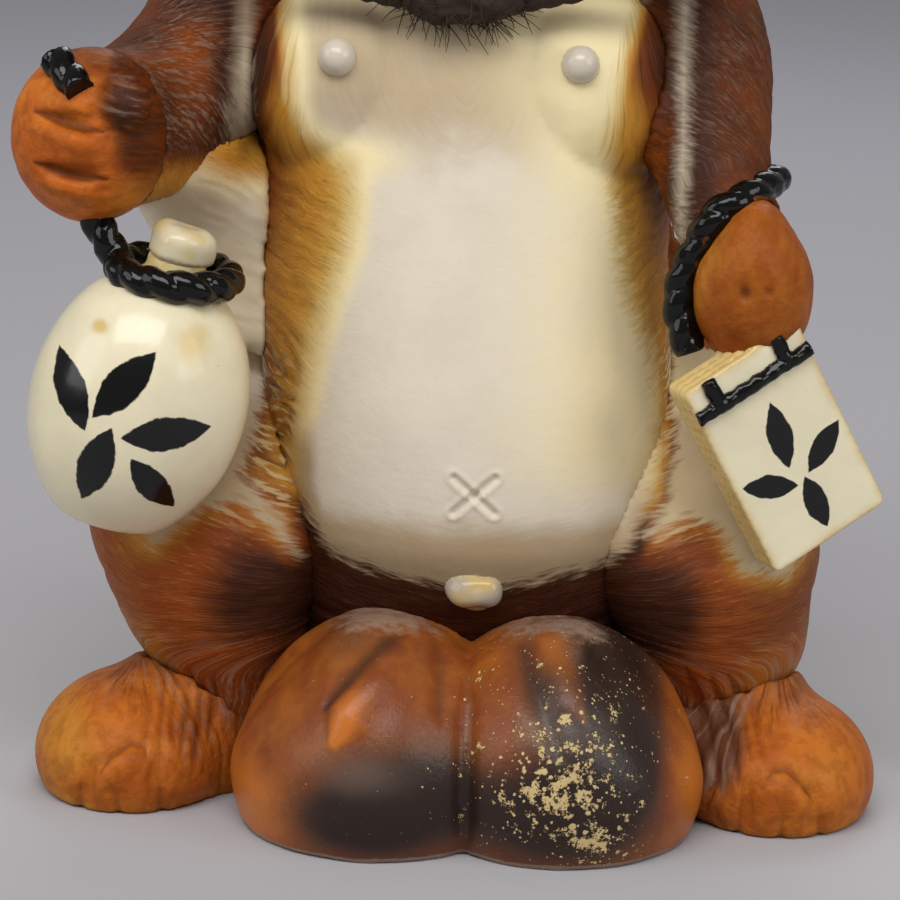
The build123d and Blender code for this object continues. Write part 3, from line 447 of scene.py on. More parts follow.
def slide(piece, amount):
    """Moves a piece's points along x, in millimetres."""
    points = points_of(piece)
    points[:, 0] += amount
    set_points(piece, points)


def roughen(piece, size, height, seed):
    """Gives a piece lumps of a size and height, in millimetres."""
    push(piece, height * clay_noise(points_of(piece), size, seed))


def store(piece, **masks):
    """Writes numbers, or vectors for the flow, on the piece's points."""
    for name, values in masks.items():
        values = np.asarray(values, np.float32)
        if values.ndim == 0:
            values = np.full(len(piece.data.vertices), values)
        kind, key = ("FLOAT_VECTOR", "vector") if values.ndim == 2 else ("FLOAT", "value")
        attribute = piece.data.attributes.get(name) or piece.data.attributes.new(name, kind, "POINT")
        attribute.data.foreach_set(key, values.ravel())


def tree_of(piece):
    """A search tree of a finished piece, in metres."""
    if piece.name not in TREES:
        points = (points_of(piece) * MM).tolist()
        TREES[piece.name] = BVHTree.FromPolygons(points, [tuple(p.vertices) for p in piece.data.polygons])
    return TREES[piece.name]


def ramp(value, low, high):
    """A smooth step from 0 at low to 1 at high."""
    share = np.clip((value - low) / (high - low), 0, 1)
    return share * share * (3 - 2 * share)


def bell(value, width):
    """A bell curve: 1 at 0, and low beyond a width."""
    return np.exp(-((value / width) ** 2))


def spots(points, *rows):
    """Soft spots seen from the front, each a weight, a place (x, z), a width and a height."""
    x, _, z = points.T
    return sum(weight * np.exp(-(((x - at) / wide) ** 2) - ((z - level) / high) ** 2)
               for weight, at, level, wide, high in rows)


def clay_noise(points, size, seed):
    """Smooth noise from -1 to 1 with bumps of a size."""
    table = np.random.default_rng(seed).uniform(-1, 1, 4096)
    cell = np.asarray(points) / size
    low = np.floor(cell).astype(np.int64)
    part = cell - low
    part = part * part * (3 - 2 * part)
    total = np.zeros(len(cell))
    for corner in product((0, 1), repeat=3):
        at = low + np.array(corner)
        key = (at[:, 0] * 73856093 ^ at[:, 1] * 19349663 ^ at[:, 2] * 83492791) & 4095
        total += table[key] * np.prod(np.where(corner, part, 1 - part), axis=1)
    return total


def outline_depth(points, outline):
    """How far points (x, z) lie inside an outline, negative outside it."""
    x, _, z = points.T
    inside = np.zeros(len(points), bool)
    nearest = np.full(len(points), np.inf)
    for (ax, az), (bx, bz) in zip(outline, outline[1:] + outline[:1]):
        crosses = (az > z) != (bz > z)
        with np.errstate(divide="ignore", invalid="ignore"):
            inside ^= crosses & (x < (bx - ax) * (z - az) / (bz - az) + ax)
        run = np.array((bx - ax, bz - az), float)
        share = np.clip(((x - ax) * run[0] + (z - az) * run[1]) / (run @ run), 0, 1)
        nearest = np.minimum(nearest, np.hypot(x - ax - share * run[0], z - az - share * run[1]))
    return np.where(inside, nearest, -nearest)


def pale_depth(points):
    """How far points lie inside the cream glaze of the belly and the webs, seen from the front."""
    depth = np.maximum.reduce([outline_depth(points, shape) for shape in (BELLY, RIGHT_WEB, LEFT_WEB)])
    behind = ramp(points[:, 1], -4, 12)
    return depth * (1 - behind) - 40 * behind


def line_distance(points, line):
    """The distance of points from a bent line, and how far along it they lie, from 0 to 1."""
    line = np.asarray(line, float)
    lengths = np.linalg.norm(np.diff(line, axis=0), axis=1)
    starts = np.concatenate(([0], np.cumsum(lengths)))
    best = np.full(len(points), np.inf)
    along = np.zeros(len(points))
    for here, after, size, start in zip(line, line[1:], lengths, starts):
        share = np.clip((points - here) @ (after - here) / size**2, 0, 1)
        gap = np.linalg.norm(points - here - share[:, None] * (after - here), axis=1)
        closer = gap < best
        best[closer] = gap[closer]
        along[closer] = ((start + share * size) / starts[-1])[closer]
    return best, along


def groove(piece, line, width, depth):
    """Presses a groove along a line into a piece."""
    gap, along = line_distance(points_of(piece), line)
    ends = np.minimum(1, 5 * np.minimum(along, 1 - along) + 0.35)
    push(piece, -depth * ends * bell(gap, width))


def front_stroke(piece, line, width, depth):
    """Presses a stroke (x, z) of the front view into a piece, and gives its share at each point."""
    gap, along = line_distance(points_of(piece) * (1, 0, 1), [(x, 0, z) for x, z in line])
    taper = 0.3 + 0.7 * np.minimum(1, 4 * np.minimum(along, 1 - along))
    share = np.exp(-((gap / width / taper) ** 2)) * ramp(-normals_of(piece)[:, 1], 0.02, 0.3)
    push(piece, -depth * taper * share)
    return share


def front_strokes(piece, lines, width, depth):
    """Presses strokes into a piece one after another, and gives the largest share at each point."""
    return np.maximum.reduce([front_stroke(piece, line, width, depth) for line in lines])


def refine(piece, centre, radius, cuts):
    """Divides the piece's faces near a point."""
    form = bmesh.new()
    form.from_mesh(piece.data)
    middle = Vector(centre) * MM
    near = {v for v in form.verts if (v.co - middle).length < radius * MM}
    edges = [e for e in form.edges if e.verts[0] in near and e.verts[1] in near]
    bmesh.ops.subdivide_edges(form, edges=edges, cuts=cuts, use_grid_fill=True)
    form.to_mesh(piece.data)
    form.free()


def lute(piece, radius, *parents, sink=1.2):
    """Spreads a piece's edge in a fillet on the pieces that carry it, and sinks its joint face in them."""
    points, normals = points_of(piece), normals_of(piece)
    for parent in parents:
        tree = tree_of(PIECES[parent])
        moved = points.copy()
        for index, point in enumerate(points * MM):
            place, facing, _, _ = tree.find_nearest(point, radius * MM)
            if place is None:
                continue
            facing = np.array(facing)
            height = max(0.0, float((point - np.array(place)) @ facing) / MM)
            if height >= radius:
                continue
            spread = radius - math.sqrt(radius**2 - (radius - height) ** 2)
            aside = normals[index] - (normals[index] @ facing) * facing
            moved[index] += aside * min(spread, 0.8 * radius)
            moved[index] -= facing * sink * max(0.0, 1 - height / 1.5)
        points = moved
    near = np.linalg.norm(points - points_of(piece), axis=1) > 0.05
    set_points(piece, points)
    apply_where(piece, near, "SMOOTH", factor=0.5, iterations=max(3, round(radius)))


def luted(name, step, rounds, radius, *parents, sink=1.2):
    """The skin of a CAD node, luted on the pieces that carry it."""
    piece = skin(name, step, rounds)
    lute(piece, radius, *parents, sink=sink)
    return piece


def coat(piece, material):
    """Gives a piece its material and smooth shading."""
    piece.data.materials.clear()
    piece.data.materials.append(material)
    piece.data.polygons.foreach_set("use_smooth", np.ones(len(piece.data.polygons), bool))


def finish_piece(piece, material, slot, *nodes, body="statue"):
    """Puts a piece in the place of CAD nodes, or of the node of its own name, no lower than the floor."""
    name = piece.name.removeprefix(DRESSED)
    points = points_of(piece)
    points[:, 2] = np.maximum(points[:, 2], 0)
    set_points(piece, points)
    coat(piece, material)
    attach(piece, body)
    own = [name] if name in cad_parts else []
    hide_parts(*(nodes or own))
    PIECES[name] = piece


def dress_nodes(material, *nodes):
    """Gives CAD nodes that stay a better material."""
    for node in nodes:
        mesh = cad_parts[node].data
        if not mesh.materials:
            mesh.materials.append(material)
        for index in range(len(mesh.materials)):
            mesh.materials[index] = material


def comb(piece, across, along, strength):
    """Combs fur into a piece with a strength, stores its flow and gives its points."""
    tuft = sizes().tuft / MM
    points = points_of(piece)
    across = across + 3.0 * clay_noise(points, 24.0, 13) + 1.2 * clay_noise(points, 9.0, 14)
    flow = np.stack((across, along * 0.17, np.zeros(len(across))), axis=1)
    lift = 1.9 * np.abs(clay_noise(flow, tuft, 11)) + 0.8 * np.abs(clay_noise(flow, tuft * 0.5, 12)) - 0.75
    lift = np.clip(lift, -1, 1) * strength
    push(piece, sizes().tuft_height / MM * lift)
    store(piece, flow=flow, tuft=lift)
    return points_of(piece)


def fur_glaze(name):
    """Combed fur under an airbrushed glaze from cream through yellow, amber and rust to dark brown."""
    g = glazes()
    f = Finish(name, 0.45, Specular_IOR_Level=0.14)
    place, flow = f.place(), f.flow()
    strand, hair = f.noise(flow, 2.0, 3.0, 0.55), f.noise(flow, 0.9, 2.0, 0.6)
    cloud, grain = f.noise(place, 0.022, 3.0, 0.55), f.noise(place, 0.0020, 2.0, 0.6)
    drift, streak = cloud - 0.5, strand - 0.5
    pale, dark, gold, tuft, soil, soft, halo, ridge, scratch = f.masks(
        "pale", "dark", "gold", "tuft", "soil", "soft", "halo", "ridge", "scratch")
    ragged = pale + (streak * 11.0 + (hair - 0.5) * 7.0) * (1 - soft * 0.8) + drift * 4.0
    cream_share = f.ease(ragged, -3.2 - soft * 4.0, 3.4 + soft * 4.0)
    # The tufts' lift paints light and shade: their crests are a little lighter, painted highlight, and their
    # hollows darker, painted shade, in the fur and on the cream
    shade = f.ease(dark + drift * 0.4 + streak * 0.45 - tuft * 0.08, 0.10, 0.95)
    tips = f.mix(shade, scaled(g.ochre, 1.1), scaled(g.rust, 1.3))
    fur = f.under(
        g.rust,
        (gold + drift * 0.45 + streak * 0.3 + tuft * 0.06, 0.05, 0.85, 1, g.amber),
        (gold + drift * 0.3 + tuft * 0.05, 0.85, 1.35, 0.75, g.ochre),
        (shade, g.umber),
        (tuft, -0.1, -0.8, 0.32, scaled(g.umber, 1.3)),
        (hair, 0.44, 0.30, 0.30, scaled(g.umber, 1.3)),
        (hair, 0.56, 0.72, (1 - shade * 0.3) * 0.26, tips),
        (strand, 0.50, 0.60, ridge * 0.8, scaled(g.flake, 1.05)),
        (strand * 0.65 + hair * 0.35, 0.46, 0.62, scratch * 0.6, scaled(g.dust, 0.75)),
    )
    cream = f.under(
        g.cream,
        (cloud, 0.35, 0.75, 1, scaled(g.cream, 0.93)),
        # Soil and painted shade: the web colour darkens the cream at the bottom of the belly, at its lower
        # edges and between the limbs
        (soil + drift * 0.4 + streak * 0.3, 0.05, 1.0, 0.9, g.web),
        (soil, 1.0, 1.6, 0.55, scaled(g.web, 0.45)),
        (halo + drift * 0.2, 0.08, 0.5, 1, g.butter),
        (halo + drift * 0.4, 0.5, 1.1, 0.8, g.ochre),
        (tuft, -0.1, -0.7, 0.35, scaled(g.web, 0.6)),
        (grain, 0.70, 0.80, 0.22, scaled(g.cream, 0.55)),
    )
    relief = f.bump((strand * 0.6 + hair * 0.3) * (1 - cream_share * 0.85), 0.0009)
    relief = f.bump(f.noise(place, 0.005, 2.0), 0.0004, 0.6, relief)
    return f.feed(Base_Color=f.mix(cream_share, fur, cream), Normal=relief,
                  Roughness=0.46 - cream_share * 0.10 + grain * 0.08)


def paw_glaze(name, depth):
    """Satin orange glaze of a depth, with painted shade in its creases, gold where high and greyed by fur that
    falls on it.
    """
    g = glazes()
    f = Finish(name, 0.42, Specular_IOR_Level=0.11)
    place = f.place()
    cloud, strand = f.noise(place, 0.02, 3.0, 0.6), f.noise(f.flow(), 2.4, 3.0, 0.55)
    grain, lump = f.noise(place, 0.0016, 2.0, 0.6), f.noise(place, 0.006, 3.0, 0.6)
    drift, streak = cloud - 0.5, strand - 0.5
    crease, plum, gold, sleeve = f.masks("crease", "plum", "gold", "coat")
    fallen = f.ease(plum, 0.1, 0.6)
    arm_fur = f.mix(f.ease(strand, 0.38, 0.60), scaled(g.umber, 1.5), scaled(g.rust, 0.45))
    tint = f.under(
        scaled(g.paw, depth),
        (cloud, 0.32, 0.68, 0.8, scaled(g.rust, 1.3 * depth)),
        (gold + drift * 0.6 + streak * 0.15, 0.25, 1.0, 0.75, scaled(g.amber, 1.15)),
        (strand, 0.52, 0.36, fallen * 0.16 + 0.07, scaled(g.rust, 0.6)),
        (lump, 0.56, 0.40, 0.30, scaled(g.rust, 0.75)),
        (sleeve + drift * 0.5 + (lump - 0.5) * 0.3, 0.12, 0.85, 1, arm_fur),
        (plum + drift * 0.5 + streak * 0.5, 0.25, 0.9, 0.8, scaled(g.plum, 1.3)),
        (strand, 0.52, 0.64, fallen * 0.4, scaled(g.dust, 0.8)),
        (strand, 0.48, 0.38, fallen * 0.5, scaled(g.umber, 1.2)),
        # Painted shade in the creases, dents and toe lines, and a painted contact shadow at the feet's bottom
        # edge
        (crease + streak * 0.3, 0.20, 1.0, 0.8, scaled(g.rust, 0.25)),
        (grain, 0.72, 0.8, 0.25, scaled(g.paw, 1.5)),
    )
    relief = f.bump(strand * (fallen * 0.4 + 0.1) + grain * 0.3, 0.0006)
    return f.feed(Base_Color=tint, Roughness=0.38 + grain * 0.14, Normal=f.bump(lump, 0.0011, 0.8, relief))


def pouch_glaze():
    """Satin rust glaze with purple-black shading, dusty edges, flaked cream-gold spots, a painted sheen and
    painted shade in its creases.
    """
    g = glazes()
    f = Finish("pouch_glaze", 0.34, Specular_IOR_Level=0.32)
    place = f.place()
    cloud, grain = f.noise(place, 0.022, 4.0, 0.6), f.noise(place, 0.0015, 2.0, 0.6)
    drift = cloud - 0.5
    plum, dust, flake, crease, gold, sheen = f.masks("plum", "dust", "flake", "crease", "gold", "sheen")
    worn = dust + drift * 0.8 + (f.noise(place, 0.005, 4.0, 0.7) - 0.5) * 1.4
    flaked = f.ease(flake * 0.25 + f.noise(place, 0.0060, 5.0, 0.78), 0.70, 0.73)
    for size, share in ((0.0022, 0.62), (0.0038, 0.52), (0.0065, 0.40)):
        chance = f.noise(place, size * 2.2, 1.0)
        shape = f.cells(place, size) + (f.noise(place, size * 0.4, 2.0) - 0.5) * 0.35
        flaked = flaked.most(f.ease(shape - flake * share * (chance - 0.38) * 2.8, 0.04, -0.02))
    flaked = flaked * (1 - f.ease(f.noise(place, 0.0019, 2.0, 0.6), 0.58, 0.64) * 0.9)
    tint = f.under(
        g.pouch,
        (cloud, 0.35, 0.68, 1, scaled(g.paw, 0.66)),
        (gold + drift * 0.4, 0.15, 0.95, 0.85, scaled(g.paw, 1.15)),
        (plum + drift * 0.6 + (grain - 0.5) * 0.3, 0.0, 1.0, 0.95, g.plum),
        (plum + drift * 0.4, 0.6, 1.1, 0.7, scaled(g.plum, 0.4)),
        # Painted shade in the pouch's creases
        (crease, 0.15, 0.9, 0.8, scaled(g.plum, 0.6)),
        # Painted highlight: a soft pale patch where each lobe would catch a sheen of light
        (sheen + drift * 0.3, 0.1, 1.0, 0.5, scaled(g.dust, 0.62)),
        (worn, 0.35, 0.95, 0.75, scaled(g.dust, 0.85)),
        (flaked, f.mix(cloud, scaled(g.flake, 0.75), scaled(g.flake, 1.3))),
    )
    return f.feed(Base_Color=tint, Roughness=0.30 + flaked * 0.4 + grain * 0.12,
                  Normal=f.bump(grain * 0.3 + flaked * 0.5, 0.0006))


def leaf_marks(f, place, sheet, leaves):
    """Black brush marks shaped as plain leaves on the front of a sheet: origin, across and up, in metres."""
    origin, across, up = sheet
    edge = f.noise(place, 0.004, 3.0) - 0.5
    local = f.vector("SUBTRACT", place, origin, 0)
    out = tuple(Vector(across).cross(Vector(up)))
    u, v, w = (f.vector("DOT_PRODUCT", local, axis) for axis in (across, up, out))
    ink = None
    for x, y, turn, size, width in leaves:
        run = (math.cos(math.radians(turn)), math.sin(math.radians(turn)))
        along = ((u - x) * run[0] + (v - y) * run[1]) / size
        aside = abs((v - y) * run[0] - (u - x) * run[1]) / width
        mark = f.ease(along * along + aside * 0.9 + edge * 0.35, 1.08, 0.96)
        ink = ink.most(mark) if ink else mark
    return ink * f.ease(w, -0.004, -0.002)


def cream_glaze(name, base, *marks):
    """Glossy cream glaze on a base colour, stained yellow in its corners, with optional brush marks."""
    g = glazes()
    f = Finish(name, 0.18, Specular_IOR_Level=0.36, Coat_Weight=0.1, Coat_Roughness=0.06)
    place = f.place()
    cloud, grain = f.noise(place, 0.018, 3.0, 0.6), f.noise(place, 0.0016, 2.0, 0.6)
    [stain] = f.masks("stain")
    tint = f.under(
        base,
        (cloud, 0.3, 0.75, 1, scaled(base, 0.93)),
        (stain + (cloud - 0.5) * 0.7, 0.2, 0.95, 0.8, g.ochre),
        (grain, 0.71, 0.79, 0.3, scaled(g.ochre, 0.6)),
    )
    if marks:
        tint = f.mix(leaf_marks(f, place, *marks), tint, g.black)
    relief = f.bump(f.noise(place, 0.007, 2.0), 0.0002, 0.6)
    return f.feed(Base_Color=tint, Roughness=0.17 + grain * 0.06, Normal=relief)


def black_glaze():
    """Wet-looking black glaze with scattered grey flecks painted as highlights."""
    if "wet_black" in bpy.data.materials:
        return bpy.data.materials["wet_black"]
    f = Finish("wet_black", 0.14, Specular_IOR_Level=0.3)
    place = f.place()
    grain = f.noise(place, 0.0022, 3.0, 0.65)
    # Painted highlights: grey flecks scattered by noise over the black
    tint = f.under(glazes().black, (grain, 0.70, 0.80, 0.4, scaled(glazes().dust, 0.4)))
    relief = f.bump(f.noise(place, 0.0045, 2.0, 0.5), 0.0005, 0.5)
    return f.feed(Base_Color=tint, Roughness=0.06 + grain * 0.10, Normal=relief)


def eye_glaze():
    """Glossy white glaze, yellow at its rim, with a black pupil."""
    g = glazes()
    f = Finish("eye_glaze", 0.1, Coat_Weight=0.6, Coat_Roughness=0.04)
    [pupil] = f.masks("pupil")
    ragged = pupil + (f.noise(f.place(), 0.003, 2.0) - 0.5) * 0.15
    tint = f.under(g.ochre, (pupil, 0.2, 0.45, 1, g.ivory), (ragged, 0.48, 0.56, 1, g.black))
    return f.feed(Base_Color=tint)


def plain_finish(name, tint, roughness, size, depth):
    """A dry material with clouds and grain."""
    f = Finish(name, roughness)
    place = f.place()
    grain, cloud = f.noise(place, size, 4.0, 0.65), f.noise(place, size * 9, 3.0, 0.6)
    shaded = f.under(
        scaled(tint, 0.55),
        (grain, 0.3, 0.72, 1, scaled(tint, 1.25)),
        (cloud, 0.35, 0.75, 0.4, scaled(tint, 0.5)),
    )
    return f.feed(Base_Color=shaded, Roughness=roughness + grain * 0.12, Normal=f.bump(grain, depth))


class TANUKI_OT_stage(bpy.types.Operator):
    """Makes the camera, the floor and the lights"""
    bl_idname = "tanuki.stage"
    bl_label = "Stage"

    def execute(self, context):
        stage = context.scene.tanuki_stage
        context.scene.view_settings.view_transform = "Standard"
        lens = bpy.data.cameras.new("camera")
        lens.lens = stage.lens
        lens.sensor_width = 36.0
        camera = bpy.data.objects.new("camera", lens)
        context.scene.collection.objects.link(camera)
        eye, target = Vector(stage.eye), Vector(stage.target)
        turn = (target - eye).to_track_quat("-Z", "Y").to_matrix().to_4x4()
        camera.matrix_world = Matrix.Translation(eye) @ turn @ Matrix.Rotation(stage.roll, 4, "Z")
        context.scene.camera = camera

        bpy.ops.object.select_all(action="DESELECT")
        bpy.ops.mesh.primitive_circle_add(vertices=96, radius=14.0, fill_type="NGON")
        floor = context.object
        floor.name = "floor"
        f = Finish("floor_paper", 0.85)
        place = f.place()
        # Painted shade: the floor turns darker and bluer with distance, as light falls off towards the back
        far = f.vector("LENGTH", place)
        tint = f.mix(far / (far + 1.0), stage.near_floor, stage.far_floor)
        grain = f.noise(place, 0.003, 3.0)
        floor.data.materials.append(f.feed(Base_Color=tint, Normal=f.bump(grain, 0.0001)))

        for name, (place, wide, deep, power) in LIGHTS.items():
            data = bpy.data.lights.new(name, "AREA")
            data.shape = "RECTANGLE"
            data.size, data.size_y, data.energy = wide, deep, power
            lamp = bpy.data.objects.new(name, data)
            lamp.location = place
            lamp.rotation_mode = "QUATERNION"
            aim = Vector((0, 4.2, 0)) if name == "backdrop_light" else Vector((0, 0, 0.2))
            lamp.rotation_quaternion = (aim - Vector(place)).to_track_quat("-Z", "Y")
            context.scene.collection.objects.link(lamp)
        world = bpy.data.worlds.new("soft_room")
        context.scene.world = world
        world.use_nodes = True
        sky = world.node_tree.nodes["Background"]
        sky.inputs["Color"].default_value = (1.0, 0.98, 0.96, 1)
        sky.inputs["Strength"].default_value = 0.22
        return {"FINISHED"}


def tube_faces(rows, sides, base=0):
    """The faces of a closed tube whose rings of vertices follow one another."""
    rings = base + np.arange(rows * sides).reshape(rows, sides)
    faces = []
    for low, high in zip(rings, rings[1:]):
        faces += np.stack((low, np.roll(low, -1), np.roll(high, -1), high), axis=1).tolist()
    return faces + [rings[0, ::-1].tolist(), rings[-1].tolist()]


def strands_about(route, radius, lay, twists, sides, seed, shag):
    """Vertices and faces of a rope of twisted strands along a route, in millimetres."""
    route = np.asarray(route, float)
    runs = np.gradient(route, axis=0)
    runs /= np.linalg.norm(runs, axis=1)[:, None]
    travelled = np.concatenate(([0], np.cumsum(np.linalg.norm(np.diff(route, axis=0), axis=1))))
    side = np.cross(runs[0], (0.31, 0.17, 0.94))
    vertices = []
    for here, run, far in zip(route, runs, travelled):
        side = side - (side @ run) * run
        side /= np.linalg.norm(side)
        other = np.cross(run, side)
        for step in range(sides):
            angle = 2 * math.pi * step / sides
            phase = twists * (angle - 2 * math.pi * far / lay)
            bulge = 0.74 + 0.26 * abs(math.cos(phase / 2)) ** 0.6
            vertices.append(here + radius * bulge * (math.cos(angle) * side + math.sin(angle) * other))
    vertices = np.array(vertices)
    lift = clay_noise(vertices, radius * 0.5, seed) * shag
    lift *= clay_noise(vertices + 100, radius * 0.8, seed + 1)
    return vertices + lift[:, None], tube_faces(len(route), sides)


def route_points(points, name):
    """Points along the NURBS line of a route, in metres."""
    data = bpy.data.curves.new(name, "CURVE")
    data.dimensions = "3D"
    data.resolution_u = 16
    line = data.splines.new("NURBS")
    line.points.add(len(points) - 1)
    for point, place in zip(line.points, points):
        point.co = (*place, 1)
    line.order_u = 3
    line.use_endpoint_u = True
    holder = bpy.data.objects.new(name, data)
    mesh = bpy.data.meshes.new_from_object(holder)
    places = [tuple(v.co) for v in mesh.vertices]
    bpy.data.objects.remove(holder)
    bpy.data.meshes.remove(mesh)
    bpy.data.curves.remove(data)
    return places


def fibre_tufts(name, roots, directions, reach, thickness, seed):
    """One piece of many thin bent fibres that grow from roots, in millimetres."""
    draw = np.random.default_rng(seed)
    rows, corners = 6, 4
    vertices, faces = [], []
    for root, direction in zip(roots, directions):
        size = reach * draw.uniform(0.45, 1.0)
        bend = draw.normal(0, 0.35, 3)
        drop = np.array((0, 0, -0.25)) * draw.uniform(0, 1)
        side = np.cross(direction, draw.normal(0, 1, 3))
        side /= np.linalg.norm(side)
        other = np.cross(direction, side)
        faces += tube_faces(rows, corners, len(vertices))
        for far in (row / (rows - 1) for row in range(rows)):
            middle = root + direction * size * far + (bend + drop) * size * far**2 * 0.6
            girth = thickness / 2 * (1 - 0.6 * far)
            for angle in (math.pi / 2 * corner for corner in range(corners)):
                vertices.append(middle + girth * (math.cos(angle) * side + math.sin(angle) * other))
    return piece_from(name, vertices, faces)


class TANUKI_OT_chin_cord(bpy.types.Operator):
    """Makes the palm-fibre chin cord and its hairy knot"""
    bl_idname = "tanuki.chin_cord"
    bl_label = "Chin cord"

    def execute(self, context):
        size = sizes()
        hair = plain_finish("palm_fibre", glazes().fibre, 0.75, 0.0011, 0.0006)
        draw = np.random.default_rng(31)
        knot = skin("chin_knot", 0.0012, 2)
        twist = points_of(knot) * (0.5, 1, 1)
        push(knot, clay_noise(twist, 5.0, 32) * 1.2 + clay_noise(twist, 1.8, 33) * 0.7)
        points, normals = points_of(knot), normals_of(knot)
        picks = draw.choice(len(points), size.fibres, replace=False)
        picks = [index for index in picks if normals[index][1] < 0.35]
        lean = normals[picks] + draw.normal(0, 0.55, (len(picks), 3))
        lean /= np.linalg.norm(lean, axis=1)[:, None]
        wisps = fibre_tufts("chin_knot_fibres", points[picks], lean, 11.0, 0.55, 34)
        finish_piece(knot, hair, "palm_fibre")
        finish_piece(wisps, hair, "palm_fibre")
        for side, sign in SIDES:
            route = [(SKULL.x * MM + sign * x, y, z) for x, y, z in CHIN_ROUTE]
            path = route_points(route, f"{side}_chin_route")
            tube = strands_about(np.array(path) / MM, size.cord_diameter / MM / 2, 24.0, 3, 18, 35, 0.9)
            cord = piece_from(f"{side}_chin_cord", *tube)
            coat(cord, hair)
            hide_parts(f"{side}_chin_cord")
            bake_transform(cord)
        return {"FINISHED"}


class TANUKI_OT_hat(bpy.types.Operator):
    """Makes the braided straw hat and dresses its ribs, hoop, ring and button"""
    bl_idname = "tanuki.hat"
    bl_label = "Straw hat"

    def execute(self, context):
        g = glazes()
        straw = plain_finish("straw", g.straw, 0.6, 0.0012, 0.0006)
        bamboo = plain_finish("bamboo", g.bamboo, 0.45, 0.0011, 0.0003)
        level = Vector((1, 0, 0))
        cross = HAT_AXIS.cross(level)
        # From the crown over the braid's rows to the rim, and back on the underside
        profile = []
        straws = ((0.0, 0.2), (0.3, 1.5), (0.75, 1.2), (0.98, 0.1))
        for row, (share, lift) in product(range(HAT_ROWS), straws):
            far = HAT_RADIUS * (row + share) / HAT_ROWS
            profile.append((far, HAT_HEIGHT * (1 - far / HAT_RADIUS) + 1.2 + lift))
        braided, count = len(profile), len(profile) + 26
        profile.append((HAT_RADIUS, 0.9))
        profile += [(HAT_RADIUS * (1 - k / 24), HAT_HEIGHT * k / 24 + 0.4) for k in range(25)]
        vertices, faces = [], []
        for step in range(HAT_SIDES):
            angle = 2 * math.pi * step / HAT_SIDES
            out = math.cos(angle) * level + math.sin(angle) * cross
            here, after = step * count, (step + 1) % HAT_SIDES * count
            for index, (far, rise) in enumerate(profile):
                braid = 0.45 * math.sin(angle * max(8, round(far * 0.9)) + index) if index < braided else 0.0
                vertices.append(HAT_RIM + out * far + HAT_AXIS * (rise + braid * min(1, far / 15)))
            faces += [(here + k, here + k + 1, after + k + 1, after + k) for k in range(count - 1)]
        cone = piece_from("hat_cone", vertices, faces)
        form = bmesh.new()
        form.from_mesh(cone.data)
        bmesh.ops.remove_doubles(form, verts=form.verts, dist=2e-5)
        bmesh.ops.recalc_face_normals(form, faces=form.faces)
        form.to_mesh(cone.data)
        form.free()
        finish_piece(cone, straw, "straw", body="hat")
        dress_nodes(straw, "hat_head_ring")
        dress_nodes(bamboo, "hat_ribs", "hat_rim_hoop", "hat_button")
        return {"FINISHED"}


def fur_paint(points):
    """The masks of the glaze on the torso, the webs and the haunches, by place."""
    x, y, z = points.T
    front = 1 - ramp(y, -4, 18)
    belly = outline_depth(points, BELLY)
    webs = np.maximum(outline_depth(points, RIGHT_WEB), outline_depth(points, LEFT_WEB))
    from_belly, from_web = np.maximum(-belly, 0), np.maximum(-webs, 0)
    aside = np.abs(x - 3)
    # The band of fur between the belly and the webs
    across = from_belly / (from_belly + from_web + 0.5)
    upper, low = ramp(z, 185, 245), ramp(z, 126, 100)
    ridge = ramp(z, 182, 150) * ramp(z, 100, 116) * ramp(from_belly, 1, 5)
    shoulder = ramp(z, 254, 280) * ramp(from_belly, 0, 6)
    gold = (1.35 - (1.0 + 0.6 * upper) * across - 0.15 * ridge) * (1 - low) - 0.7 * shoulder
    dark = (0.22 + 0.75 * upper) * across**1.4 + 0.25 * ridge + 0.4 * shoulder
    dark = np.maximum(dark, 1.05 * low * ramp(aside, 90, 74))
    # The haunches, dark in the middle and lighter at the webs
    haunch = ramp(z, 124, 104) * ramp(from_belly, 1, 8)
    middle = ramp(aside + 4 * (x < 0), 116, 74) * ramp(z, 116, 84)
    rim = bell(from_web, 6) * ramp(aside, 52, 68)
    haunch_gold = 0.2 * ramp(aside, 84, 128) + 0.45 * rim
    haunch_dark = np.maximum(1.05 * middle, 0.12 + 0.34 * (x > 0)) * (1 - 0.6 * rim)
    gold = front * ((1 - haunch) * gold + haunch * haunch_gold) + (1 - front) * 0.25
    dark = front * ((1 - haunch) * dark + haunch * haunch_dark) + (1 - front) * 0.38
    # Yellow, soil and painted light and shade on the cream: the bottom of the belly, its lower edges, the chest
    # and the webs are darkened, partly as painted shade, and the statue's left of the belly is lightened,
    # partly as painted light
    brink = bell(belly, 7)
    # Painted light: left_side and the last term below lighten and yellow the cream on the statue's left of the
    # belly and its web, which turn away from the light; the rest of the halo is the yellow glaze at the belly's
    # edge and under the breasts
    left_side = ramp(x, -12, 64) * ramp(belly, -8, 2) * ramp(z, 100, 140)
    halo = np.maximum(0.5 * brink * ramp(z, 126, 152), 0.36 * left_side) + 0.05 + 0.12 * ramp(z, 245, 275)
    halo += spots(points, (0.35, -34, 243, 16, 9), (0.3, 50, 250, 12, 12))
    halo += 0.15 * (x > 40) * ramp(-belly, 3, 9)
    soil = np.where(belly > 0, 1.6 * ramp(z, 124, 90) + 0.78 * ramp(z, 225, 270),
                    0.85 - 0.5 * (x < 0) * ramp(z, 128, 156))
    soil = np.maximum(soil, 1.2 * brink * ramp(z, 156, 128))
    soft = (1 - 0.6 * (x > 20)) * ramp(z, 110, 140) * ramp(across, 0.62, 0.38) * (1 - 0.6 * ramp(z, 236, 256))
    return {"pale": pale_depth(points), "dark": dark, "gold": gold, "soil": soil, "soft": soft, "halo": halo,
            "ridge": ridge * front}


